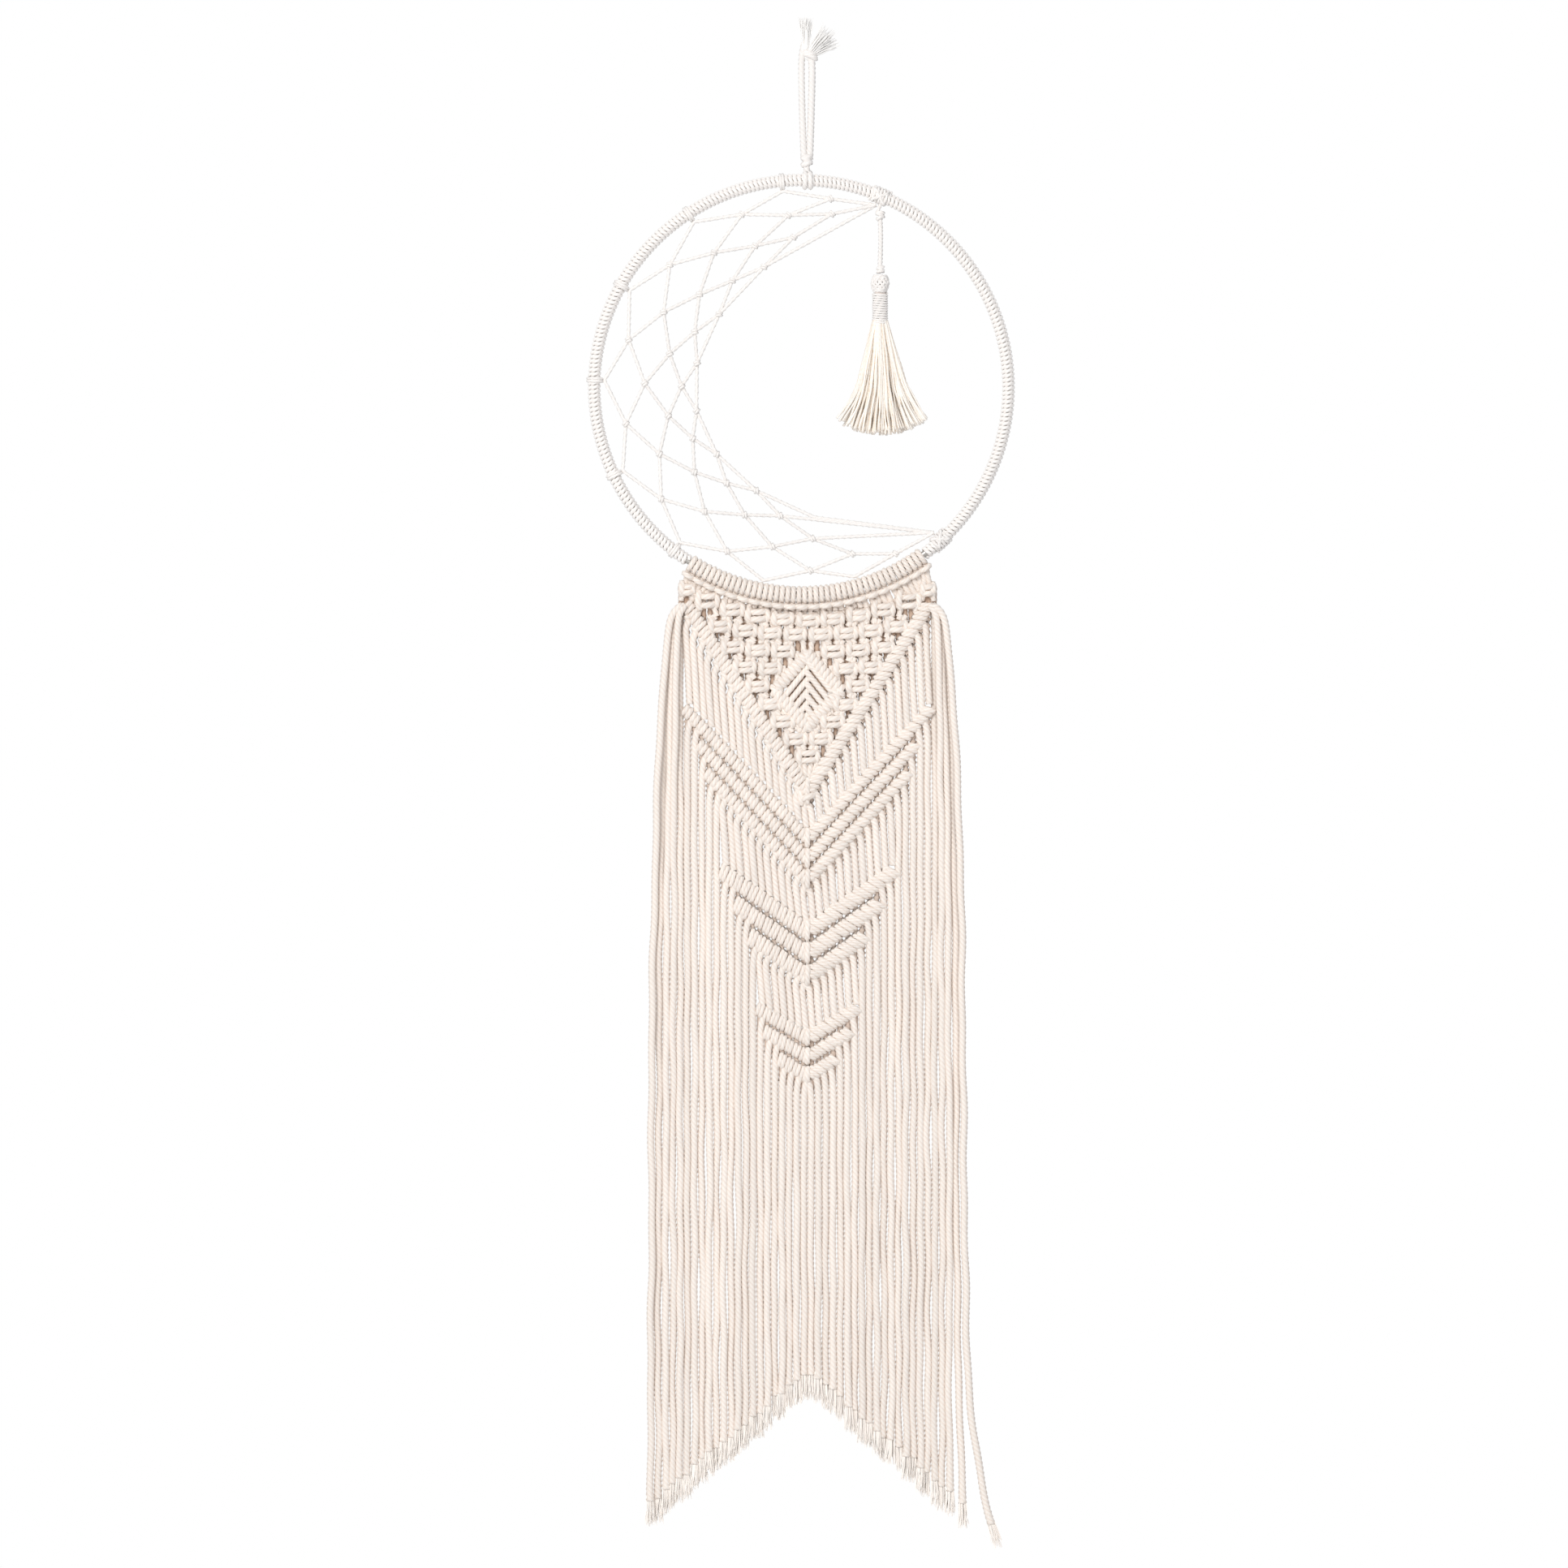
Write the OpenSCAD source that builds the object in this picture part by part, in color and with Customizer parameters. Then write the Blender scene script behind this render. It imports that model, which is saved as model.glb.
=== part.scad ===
// Moon wall hanging: a cord-wrapped steel hoop that hangs from a tied cord, with a crescent of
// netted string, a small tassel, and a long knotted and fringed panel on the hoop's lower arc.
// Millimetres. The origin is the hanging point under the top knot, +Z is up, and the front
// faces -Y. x = 0 is the line the piece hangs on, which is also the middle of the fringe.

/* [Hanger] */
// Drop from the hanging point to the outside of the hoop
hanger_len = 51.6; // [40:0.2:90]
// Diameter of the hanger cord
hanger_cord_d = 3; // [2:0.1:4]
// Width of the two knots on the hanger cord
hanger_knot_d = 6; // [5:0.1:9]
// Length of the frayed tails above the top knot
tail_len = 15; // [8:0.5:30]

/* [Hoop] */
// Outside diameter of the wrapped hoop
hoop_d = 200; // [160:1:260]
// Diameter of the steel ring's wire
ring_wire_d = 3; // [2.5:0.1:4]
// Thickness of the cord wrapped round the wire
wrap_t = 1.5; // [1:0.1:2]
// How far the hoop's centre sits to the left of the hanging line
hoop_shift = 3; // [0:0.5:6]

/* [Moon web] */
// Diameter of the web's string
string_d = 1.5; // [1:0.1:2]
// Spans of the web between its two anchors on the hoop
web_spans = 9; // [6:1:12]
// Angle of the upper anchor, to the right of the hoop's top
web_start_a = 22.4; // [15:0.2:30]
// Angle from one hitch on the hoop to the next
web_step_a = 27.2; // [20:0.2:28]
// How far the middle hitches have slid down the hoop, as an angle
web_slip_a = 1.6; // [0:0.1:3]

/* [Tassel] */
// Length of the cord from the tassel's top knot to its link knot
tassel_cord_len = 23; // [12:0.5:35]
// Diameter of the tassel's woven head
tassel_head_d = 8.8; // [6:0.1:12]
// Diameter of the wrapped collar
tassel_collar_d = 7.6; // [5:0.1:10]
// Length of the wrapped collar
tassel_collar_len = 14.4; // [8:0.2:20]
// Length of the skirt of loose strings
tassel_skirt_len = 53; // [35:0.5:64]
// Width of the skirt at its hem
tassel_skirt_w = 42; // [25:0.5:50]
// Depth of the skirt from front to back
tassel_skirt_t = 12; // [8:0.5:16]

/* [Cord] */
// Diameter of the panel's cord
cord_d = 3; // [2.4:0.1:3.6]
// Gap between neighbouring free strands
strand_gap = 0.41; // [0.35:0.01:1]
// Strands on each side of the middle line
strands = 22; // [22:1:26]

/* [Panel] */
// Drop from the hoop's outside to the middle of the first row of knots
first_row_drop = 7.4; // [6:0.1:12]
// Height of the net's first row at its two ends above its middle
row_bend = 9; // [4:0.5:12]
// Drop from the net's last knot to the middle of the V ridge's point
v_clear = 16.8; // [12:0.1:20]
// Half height of the diamond, to the middle of its frame
diamond_h = 17; // [15:0.5:20]
// Half width of the diamond, to the middle of its frame
diamond_w = 15.5; // [14:0.5:18]

/* [Bands] */
// Drop from the V ridge's point to the point of band A
a_drop = 22; // [20:0.5:50]
// Drop from the point of band A's last ridge to the point of band B
b_drop = 24; // [20:0.5:50]
// Drop from the point of band B's last ridge to the point of band C
c_drop = 29; // [20:0.5:50]
// Slope of band A's ridges
a_slope = 46.6; // [40:0.2:50]
// Slope of band B's ridges
b_slope = 35; // [30:0.5:42]
// Slope of band C's ridges
c_slope = 31; // [25:0.5:40]
// Width of band A's ridges across, for cord 1 thick
a_ridge = 2.07; // [1.9:0.01:2.5]
// Width of band B's ridges across, for cord 1 thick: the flatter the slope, the wider
b_ridge = 2.75; // [2:0.01:3]
// Width of band C's ridges across, for cord 1 thick
c_ridge = 2.37; // [2:0.01:3]
// Gap between a band's ridges
band_gap = 0.4; // [0.2:0.05:2]

/* [Fringe] */
// Drop from the hoop's outside to the fringe's shortest ends, in the middle
fringe_drop = 374.4; // [300:0.2:500]
// How much longer each strand is than its inner neighbour
fringe_step = 2.9; // [0:0.1:5]
// How far the outermost strand on the right splays out at its end
splay = 13; // [0:0.5:15]
// How much lower than its twin on the left the outermost strand on the right reaches
right_extra = 9.6; // [0:0.2:20]

/* [Hidden] */

$fn = 32;
white = [0.94, 0.92, 0.90];
cream = [0.96, 0.93, 0.89];
straw = [0.98, 0.94, 0.87];
steel = [0.62, 0.60, 0.57];

// Clearance between pieces that move against each other, and between neighbours on one body
run_clear = 0.3;
fit_clear = 0.05;

// Hoop: a torus on the wire's middle line, and where that line passes the hanging line
tube_r = ring_wire_d / 2 + wrap_t;
ring_r = hoop_d / 2 - tube_r;
hoop_z = -(hanger_len + hoop_d / 2);
hoop_bottom = hoop_z - hoop_d / 2;
hitch_z = hoop_z + sqrt(ring_r * ring_r - hoop_shift * hoop_shift);

// Hanger cord: the hitch on the hoop, then a gap for the lower knot to swing over, then the knot
hitch_t = 2;
hitch_r = tube_r + run_clear + hitch_t / 2;
swing_gap = 0.95;
swing_z = hitch_z + hitch_r + hitch_t / 2 + swing_gap;
knot_low = swing_z + swing_gap;
knot_top = knot_low + 0.75 * hanger_knot_d;
top_knot_h = 5;
top_knot_low = 1.2;

// How far a leg stands off the middle line, at shares of its way down to the lower knot
leg_x = [2.2, 2.6, 2.6, 2.2, 1.6];
leg_share = [0, 0.2, 0.5, 0.8, 1];

// Lark's heads: two tight turns of cord each, side by side on the bare wire
head_cord_d = 0.8 * cord_d;
head_gap = 0.235;
head_pitch = 2 * (head_cord_d + head_gap);
head_step_a = head_pitch / ring_r * 180 / PI;
head_mid_a = asin(hoop_shift / ring_r);
bare_half_a = strands / 2 * head_step_a;

// Free strands
pitch = cord_d + strand_gap;

// Net of square knots, four strands to a knot, one knot fewer in each row
rows = 9;
knot_pitch = 3.93 * cord_d;
knot_w = knot_pitch - 0.6 * cord_d;
row_pitch = 2.72 * cord_d;
knot_h = row_pitch - 0.4 * cord_d;
knot_t = 2 * cord_d;
first_row_z = hoop_bottom - first_row_drop;

// Diamond: its middle, the rows it lies below, and its frame of half hitches
diamond_rows = 4.25;
diamond_z = first_row_z - diamond_rows * row_pitch;
frame_d = 1.9 * cord_d;
frame_inset = 0.12;

// Ridges of double half hitches, [height of the point, slope, strands a side, width across]
ridge_d = 2.07 * cord_d;
v_reach = 4;
v_half_w = rows / 2 * knot_pitch + v_reach;
v_point = first_row_z - (rows - 1) * row_pitch - v_clear;
v_end_z = hoop_bottom - 1;
v_slope = atan((v_end_z - v_point) / v_half_w);
a_w = a_ridge * cord_d;
b_w = b_ridge * cord_d;
c_w = c_ridge * cord_d;
a_pitch = (a_w + band_gap) / cos(a_slope);
b_pitch = (b_w + band_gap) / cos(b_slope);
c_pitch = (c_w + band_gap) / cos(c_slope);
a_point = v_point - a_drop;
b_point = a_point - 2 * a_pitch - b_drop;
c_point = b_point - 2 * b_pitch - c_drop;
v_ridge = [v_point, v_slope, strands, ridge_d];
function band(point, slope, width, step, counts) =
    [for (k = [0 : 2]) [point - k * step, slope, counts[k], width]];
band_a = band(a_point, a_slope, a_w, a_pitch, [17, 15, 14]);
band_b = band(b_point, b_slope, b_w, b_pitch, [12, 10, 8]);
band_c = band(c_point, c_slope, c_w, c_pitch, [7, 6, 4]);
hinge_gap = 1;

// Web: strings, and the windings that hold them on the hoop
anchor_len = 8;
hitch_len = 1.8;

// Tassel, hung from the web's upper anchor, with room for its link knot to turn
tassel_x = ring_r * sin(web_start_a) - hoop_shift;
anchor_z = hoop_z + ring_r * cos(web_start_a);
tassel_knot_d = 5;
link_knot_d = 4;
link_clear = 0.5;
anchor_room = 3.6;
top_knot_z = anchor_z - tube_r - anchor_room - tassel_knot_d / 2;
link_z = top_knot_z - tassel_knot_d / 2 - tassel_cord_len;
head_top = link_z - link_knot_d / 2 - run_clear;
head_h = 8;
collar_top = head_top - head_h - 0.6;
skirt_top = collar_top - tassel_collar_len;
skirt_top_w = 12.2;

// ---- helpers ----------------------------------------------------------------------------

function unit(v) = v / norm(v);

// Direction of a path at a point, the mean of the stretches that meet there
function along(p, i) = unit((i > 0 ? unit(p[i] - p[i - 1]) : [0, 0, 0])
                            + (i < len(p) - 1 ? unit(p[i + 1] - p[i]) : [0, 0, 0]));

// How much wider a ring is at a bend, so that the stretches keep their width
function mitre(p, i) = (i == 0 || i == len(p) - 1) ? 1 : 1 / (along(p, i) * unit(p[i + 1] - p[i]));

function ring(p, i, r, sides) =
    let (t = along(p, i), u = unit(cross([0, 1, 0], t)), v = cross(t, u), m = mitre(p, i))
    [for (k = [0 : sides - 1]) p[i] + r * (m * cos(360 * k / sides) * u + sin(360 * k / sides) * v)];

// A round tube along points that never run front to back
module tube(points, d, d_end = 0, sides = 8) {
    last = len(points) - 1;
    radii = [for (i = [0 : last]) (d + (d_end > 0 ? d_end - d : 0) * i / last) / 2];
    polyhedron(
        points = [for (i = [0 : last]) each ring(points, i, radii[i], sides)],
        faces = concat(
            [[for (k = [0 : sides - 1]) k]],
            [[for (k = [sides - 1 : -1 : 0]) last * sides + k]],
            [for (i = [0 : last - 1], k = [0 : sides - 1])
                [i * sides + k, (i + 1) * sides + k,
                 (i + 1) * sides + (k + 1) % sides, i * sides + (k + 1) % sides]]));
}

// Puts its children at an angle round the hoop, measured from the top to the left, with the
// hoop's wire running along the children's X
module on_hoop(angle) {
    translate([-hoop_shift, 0, hoop_z]) rotate([0, -angle, 0]) translate([0, 0, ring_r]) children();
}

// A short round sleeve along X
module sleeve(r_in, r_out, len) {
    rotate([0, 90, 0]) difference() {
        cylinder(h = len, r = r_out, center = true);
        cylinder(h = len + 1, r = r_in, center = true);
    }
}

// A tied knot: a squat barrel with bevelled rims, upright on Z
module knot(d, h) {
    rotate_extrude()
        polygon([[0, -h / 2], [0.32 * d, -h / 2], [d / 2, -0.22 * h], [d / 2, 0.22 * h],
                 [0.32 * d, h / 2], [0, h / 2]]);
}

// A square knot: an eight-sided block, flat to the front
module square_knot() {
    w = knot_w / 2;
    h = knot_h / 2;
    c = knot_h / 3;
    rotate([90, 0, 0]) linear_extrude(height = knot_t, center = true)
        polygon([[w, h - c], [w - c, h], [c - w, h], [-w, h - c],
                 [-w, c - h], [c - w, -h], [w - c, -h], [w, c - h]]);
}

// ---- hanger -----------------------------------------------------------------------------

module top_knot() {
    color(white) translate([0, 0, top_knot_low + top_knot_h / 2]) knot(hanger_knot_d + 0.5, top_knot_h);
}

// One frayed tail stands up, the other leans out to the right; both open like a brush
module top_tails() {
    foot = top_knot_low + top_knot_h + 0.1;
    brush_d = 7;
    lean = 55;
    color(white) {
        tube([[-1.2, 0, foot], [-1, 0, foot + tail_len / 2], [-0.8, 0, foot - 0.3 + tail_len]],
             2, brush_d);
        translate([1.4, 0, foot]) rotate([0, lean, 0])
            tube([[0, 0, 0.7], [0, 0, tail_len / 2], [0, 0, tail_len]], 1.4, brush_d);
    }
}

module hanger_leg(side) {
    high = top_knot_low - 0.1;
    low = knot_top + run_clear;
    color(white) tube([for (i = [0 : len(leg_x) - 1])
        [side * leg_x[i], 0, high + (low - high) * leg_share[i]]], hanger_cord_d);
}

module hanger_leg_left() hanger_leg(-1);
module hanger_leg_right() hanger_leg(1);

module lower_knot() {
    color(white) translate([0, 0, (knot_low + knot_top) / 2]) knot(hanger_knot_d, knot_top - knot_low);
}

module hoop_hitch() {
    color(white) for (x = [-0.6, 0.6] * hitch_t)
        translate([x, 0, hitch_z]) rotate([0, 90, 0]) rotate_extrude()
            translate([hitch_r, 0]) circle(d = hitch_t);
}

// ---- hoop -------------------------------------------------------------------------------

module hoop_ring() {
    color(steel) translate([-hoop_shift, 0, hoop_z]) rotate([90, 0, 0])
        rotate_extrude() translate([ring_r, 0]) circle(d = ring_wire_d);
}

// The wrap leaves the wire bare where the lark's heads sit
module hoop_wrap() {
    bare = bare_half_a + head_step_a / 5;
    color(white) translate([-hoop_shift, 0, hoop_z]) rotate([90, 0, 0])
        rotate([0, 0, -90 + head_mid_a + bare])
            rotate_extrude(angle = 360 - 2 * bare) translate([ring_r, 0]) difference() {
                circle(r = tube_r);
                circle(r = ring_wire_d / 2 + fit_clear);
            }
}

module larks_heads() {
    color(cream) for (i = [0 : strands - 1], s = [-0.25, 0.25])
        on_hoop(180 + head_mid_a + (i - (strands - 1) / 2 + s) * head_step_a)
            rotate([0, 90, 0]) rotate_extrude()
                translate([ring_wire_d / 2 + head_cord_d / 2 + fit_clear, 0]) circle(d = head_cord_d);
}

// ---- moon web ---------------------------------------------------------------------------

// The crescent's inner edge, a cubic curve from anchor to anchor, pulled by two handles
inner_high = [-96, 35];
inner_low = [-67, -70];
web_r = ring_r - ring_wire_d / 2 - head_cord_d - string_d / 2 - 3 * fit_clear;
function web_angle(s) = s * web_step_a - web_start_a + web_slip_a * sin(180 * s / web_spans);
function hoop_at(u) = let (a = web_angle(u * web_spans)) web_r * [-sin(a), cos(a)];
function inner_at(u) =
    let (w = 1 - u, k = ring_r / 97)
    w * w * w * hoop_at(0) + 3 * w * w * u * k * inner_high
    + 3 * w * u * u * k * inner_low + u * u * u * hoop_at(1);

// A node of the net: across the crescent by share v, at step s of the spans
web_share = [0, 0.2, 0.45, 0.68, 0.86, 1];
function web_node(row, s) =
    let (u = s / web_spans, p = (1 - web_share[row]) * hoop_at(u) + web_share[row] * inner_at(u))
    [p[0] - hoop_shift, 0, p[1] + hoop_z];

// A row zigzags between the nodes of the row before and its own
module web_row(row, first, last) {
    color(white) tube([for (k = [0 : 2 * (last - first)])
        web_node(k % 2 == 0 ? row - 1 : row, first + k / 2)], string_d);
}

module web_row_1() web_row(1, 0, web_spans);
module web_row_2() web_row(2, 0.5, web_spans - 0.5);
module web_row_3() web_row(3, 0, web_spans - 1);
module web_row_4() web_row(4, 0.5, web_spans - 1.5);
module web_row_5() web_row(5, 1, web_spans - 2);

// The edge string runs from anchor to anchor through the last row's nodes
module web_edge() {
    color(white) tube([for (s = [0.25, each [1.5 : web_spans - 1.5], web_spans - 0.25])
        web_node(5, s)], string_d);
}

// Half hitches that tie the first row to the wrapped part of the hoop
module web_hitches() {
    color(white) for (k = [1 : web_spans - 1])
        let (angle = web_angle(k))
            if (abs(angle - 180 - head_mid_a) > bare_half_a + head_step_a / 2)
                on_hoop(angle) sleeve(tube_r + fit_clear, tube_r + string_d, hitch_len);
}

module web_anchor(angle) {
    color(white) on_hoop(angle) sleeve(tube_r + fit_clear, tube_r + string_d, anchor_len);
}

module web_anchor_top() web_anchor(web_angle(0));
module web_anchor_bottom() web_anchor(web_angle(web_spans));

// ---- tassel -----------------------------------------------------------------------------

module tassel_top_knot() {
    color(white) translate([tassel_x, 0, top_knot_z]) knot(tassel_knot_d, tassel_knot_d);
}

module tassel_cord() {
    high = top_knot_z - tassel_knot_d / 2;
    low = link_z + link_knot_d / 2 + link_clear;
    color(white) translate([tassel_x, 0, low]) cylinder(h = high - low, d = 2.2);
}

module tassel_link_knot() {
    color(white) translate([tassel_x, 0, link_z]) knot(link_knot_d, link_knot_d);
}

module tassel_head() {
    color(white) translate([tassel_x, 0, head_top - head_h / 2]) knot(tassel_head_d, head_h);
}

module tassel_collar() {
    color(white) translate([tassel_x, 0, skirt_top]) cylinder(h = tassel_collar_len, d = tassel_collar_d);
}

module tassel_skirt() {
    color(straw) translate([tassel_x, 0, skirt_top - fit_clear]) rotate([90, 0, 0])
        linear_extrude(height = tassel_skirt_t, center = true)
            polygon([[-skirt_top_w / 2, 0], [skirt_top_w / 2, 0],
                     [0.36 * tassel_skirt_w, -tassel_skirt_len / 2],
                     [tassel_skirt_w / 2, -tassel_skirt_len], [-tassel_skirt_w / 2, -tassel_skirt_len],
                     [-0.36 * tassel_skirt_w, -tassel_skirt_len / 2]]);
}

// ---- panel ------------------------------------------------------------------------------

// The net follows the hoop's arc at the top and straightens lower down
function knot_z(row, x) =
    first_row_z - (row - 1) * row_pitch + row_bend * max(0, 1 - (row - 1) / 5) * pow(x / v_half_w, 2);

// Knots stop where the diamond's frame begins
function in_diamond(x, z) =
    abs(x) / (diamond_w + frame_d) + abs(z - diamond_z) / (diamond_h + frame_d) < 1;

module net_row(row) {
    count = rows + 1 - row;
    color(cream) for (j = [0 : count - 1])
        let (x = (j - (count - 1) / 2) * knot_pitch)
            if (!in_diamond(x, first_row_z - (row - 1) * row_pitch))
                translate([x, 0, knot_z(row, x)]) square_knot();
}

module net_row_1() net_row(1);
module net_row_2() net_row(2);
module net_row_3() net_row(3);
module net_row_4() net_row(4);
module net_row_5() net_row(5);
module net_row_6() net_row(6);
module net_tip() for (row = [7 : rows]) net_row(row);

// A straight bar of hitches from one point to another in the panel's plane, d deep and wider
// across by the given factor
module bar(from, to, d, wider = 1) {
    way = to - from;
    translate([from[0], 0, from[1]]) rotate([0, atan2(way[0], way[1]), 0]) scale([wider, 1, 1])
        cylinder(h = norm(way), d = d);
}

module diamond_side(sx, sz) {
    near = frame_inset;
    far = 1 - frame_inset;
    color(cream) bar([sx * diamond_w * far, diamond_z + sz * diamond_h * near],
                     [sx * diamond_w * near, diamond_z + sz * diamond_h * far], frame_d);
}

module diamond_upper_left() diamond_side(-1, 1);
module diamond_upper_right() diamond_side(1, 1);
module diamond_lower_left() diamond_side(-1, -1);
module diamond_lower_right() diamond_side(1, -1);

// Strands that cross inside the diamond, shown as one flat woven block
module diamond_weave() {
    w = diamond_w - 0.8 * frame_d;
    h = diamond_h - 0.88 * frame_d;
    color(cream) translate([0, 0, diamond_z]) rotate([90, 0, 0])
        linear_extrude(height = cord_d, center = true)
            polygon([[w, 0], [0, h], [-w, 0], [0, -h]]);
}

// Height of a ridge's middle line
function ridge_z(ridge, x) = ridge[0] + abs(x) * tan(ridge[1]);

// Room a strand of cord needs above or below a ridge's middle line
function ridge_room(ridge) =
    ridge[3] / 2 / cos(ridge[1]) + cord_d / 2 * tan(ridge[1]) + run_clear;

// One arm of a ridge, cut off upright just short of the middle line
arm_gap = 0.2;
module arm(ridge, side, end_x) {
    stop_x = end_x - ridge[3] / 2 * sin(ridge[1]);
    intersection() {
        bar([side * -ridge_d, ridge[0] - ridge_d * tan(ridge[1])],
            [side * stop_x, ridge_z(ridge, stop_x)], ridge_d, ridge[3] / ridge_d);
        translate([side * (end_x + arm_gap / 2), 0, ridge[0] + end_x / 2])
            cube([2 * end_x, 2 * ridge_d, 8 * end_x], center = true);
    }
}

module v_ridge_left() color(cream) arm(v_ridge, -1, v_half_w);
module v_ridge_right() color(cream) arm(v_ridge, 1, v_half_w);

module v_tip_knot() {
    drop = ridge_d / 2 / cos(v_slope) + fit_clear;
    color(cream) translate([0, 0, v_point - drop - cord_d / 2]) rotate([90, 0, 0])
        cylinder(h = knot_t, d = cord_d, center = true);
}

// ---- bands ------------------------------------------------------------------------------

module band_side(band, side) {
    color(cream) for (ridge = band) arm(ridge, side, ridge[2] * pitch - arm_gap / 2);
}

module band_a_left() band_side(band_a, -1);
module band_a_right() band_side(band_a, 1);
module band_b_left() band_side(band_b, -1);
module band_b_right() band_side(band_b, 1);
module band_c_left() band_side(band_c, -1);
module band_c_right() band_side(band_c, 1);

// Free strands from one ridge down to the next, as their upper or their lower half: the two
// bands fold against each other half way
module gap_strands(above, below, half) {
    count = below[2];
    color(cream) for (side = [-1, 1], i = [0 : count - 1])
        let (x = (i + 0.5) * pitch,
             high = ridge_z(above, x) - ridge_room(above) - (i == 0 && above[1] == v_slope ? cord_d : 0),
             low = ridge_z(below, x) + ridge_room(below),
             middle = (high + low) / 2,
             from = half > 0 ? middle + hinge_gap / 2 : low,
             to = half > 0 ? high : middle - hinge_gap / 2)
            translate([side * x, 0, from]) cylinder(h = to - from, d = cord_d);
}

module v_strands_upper() gap_strands(v_ridge, band_a[0], 1);
module v_strands_lower() gap_strands(v_ridge, band_a[0], -1);
module a_strands_upper() gap_strands(band_a[2], band_b[0], 1);
module a_strands_lower() gap_strands(band_a[2], band_b[0], -1);
module b_strands_upper() gap_strands(band_b[2], band_c[0], 1);
module b_strands_lower() gap_strands(band_b[2], band_c[0], -1);

// ---- fringe -----------------------------------------------------------------------------

// The last ridge that a strand is knotted into
function last_ridge(i, band) = i < band[2][2] ? band[2] : i < band[1][2] ? band[1] : band[0];

// Height of a strand's end
function end_z(i) = hoop_bottom - fringe_drop - i * fringe_step;

// Strands that leave the ends of a band and hang straight down
module hanging_strands(band, from, to, side) {
    color(cream) for (i = [from : to])
        let (x = side * (i + 0.5) * pitch, ridge = last_ridge(i, band),
             high = ridge_z(ridge, x) - ridge_room(ridge),
             low = end_z(i))
            tube([for (s = [0, 0.4, 0.8, 1]) [x, 0, high + (low - high) * s]], cord_d);
}

// Strands that leave the upper ends of the V ridge close together, in three layers, and ease
// out into one row; the two outermost on the right hang longer and turn out at their ends
outer_first = 17;
outer_start_step = 1;
outer_ease = 75;
outer_top = v_end_z - ridge_d / 2 / cos(v_slope) - 0.8;
module outer_strands(side) {
    start_x = (outer_first + 0.5) * pitch;
    color(cream) for (i = [outer_first : strands - 1])
        let (x = (i + 0.5) * pitch, lean = x - start_x - outer_start_step * (i - outer_first),
             layer = (i % 3 - 1) * cord_d,
             fan = side > 0 ? pow(max(0, i - strands + 3) / 2, 2) : 0,
             length = outer_top - end_z(i) + right_extra * fan)
            tube([for (drop = [0, 25, 55, 95, 150, 220, 0.85 * length, 0.93 * length, length])
                [side * (x - lean * exp(-drop / outer_ease) + splay * fan * pow(drop / length, 10)),
                 layer * exp(-drop / outer_ease / 2), outer_top - drop]], cord_d);
}

module fringe_outer_left() outer_strands(-1);
module fringe_outer_right() outer_strands(1);
module fringe_a_left() hanging_strands(band_a, band_b[0][2], band_a[0][2] - 1, -1);
module fringe_a_right() hanging_strands(band_a, band_b[0][2], band_a[0][2] - 1, 1);
module fringe_b_left() hanging_strands(band_b, band_c[0][2], band_b[0][2] - 1, -1);
module fringe_b_right() hanging_strands(band_b, band_c[0][2], band_b[0][2] - 1, 1);
module fringe_c_left() hanging_strands(band_c, 0, band_c[0][2] - 1, -1);
module fringe_c_right() hanging_strands(band_c, 0, band_c[0][2] - 1, 1);

// ---- nodes ------------------------------------------------------------------------------

top_knot();
top_tails();
hanger_leg_left();
hanger_leg_right();
lower_knot();
hoop_hitch();
hoop_ring();
hoop_wrap();
web_hitches();
web_anchor_top();
web_anchor_bottom();
web_row_1();
web_row_2();
web_row_3();
web_row_4();
web_row_5();
web_edge();
larks_heads();
tassel_top_knot();
tassel_cord();
tassel_link_knot();
tassel_head();
tassel_collar();
tassel_skirt();
net_row_1();
net_row_2();
net_row_3();
net_row_4();
net_row_5();
net_row_6();
net_tip();
diamond_upper_left();
diamond_upper_right();
diamond_lower_left();
diamond_lower_right();
diamond_weave();
v_ridge_left();
v_ridge_right();
v_tip_knot();
v_strands_upper();
v_strands_lower();
band_a_left();
band_a_right();
a_strands_upper();
a_strands_lower();
band_b_left();
band_b_right();
b_strands_upper();
b_strands_lower();
band_c_left();
band_c_right();
fringe_outer_left();
fringe_outer_right();
fringe_a_left();
fringe_a_right();
fringe_b_left();
fringe_b_right();
fringe_c_left();
fringe_c_right();
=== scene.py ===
import bpy
import numpy as np
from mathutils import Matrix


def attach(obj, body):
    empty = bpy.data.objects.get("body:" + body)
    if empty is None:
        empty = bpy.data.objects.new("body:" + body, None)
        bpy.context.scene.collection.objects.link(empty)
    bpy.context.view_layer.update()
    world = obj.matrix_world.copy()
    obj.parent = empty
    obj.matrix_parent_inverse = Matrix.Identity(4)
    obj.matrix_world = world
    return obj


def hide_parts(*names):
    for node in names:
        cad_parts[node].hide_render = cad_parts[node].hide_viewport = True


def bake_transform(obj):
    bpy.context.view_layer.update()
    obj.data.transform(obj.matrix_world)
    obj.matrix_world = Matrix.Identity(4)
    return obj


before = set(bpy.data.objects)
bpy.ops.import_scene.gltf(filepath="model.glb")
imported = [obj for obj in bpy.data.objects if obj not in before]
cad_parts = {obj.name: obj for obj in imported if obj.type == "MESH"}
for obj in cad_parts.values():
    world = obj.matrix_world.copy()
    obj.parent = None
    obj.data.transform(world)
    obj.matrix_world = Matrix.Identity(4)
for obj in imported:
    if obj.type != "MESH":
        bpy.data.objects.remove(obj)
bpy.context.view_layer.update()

# ---- Studio ------------------------------------------------------------------------------
# A plain white studio: the piece hangs free in front of nothing, with a pale floor well below
# its lowest end, an even white surround and one large soft lamp in front, high on the left.

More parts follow.
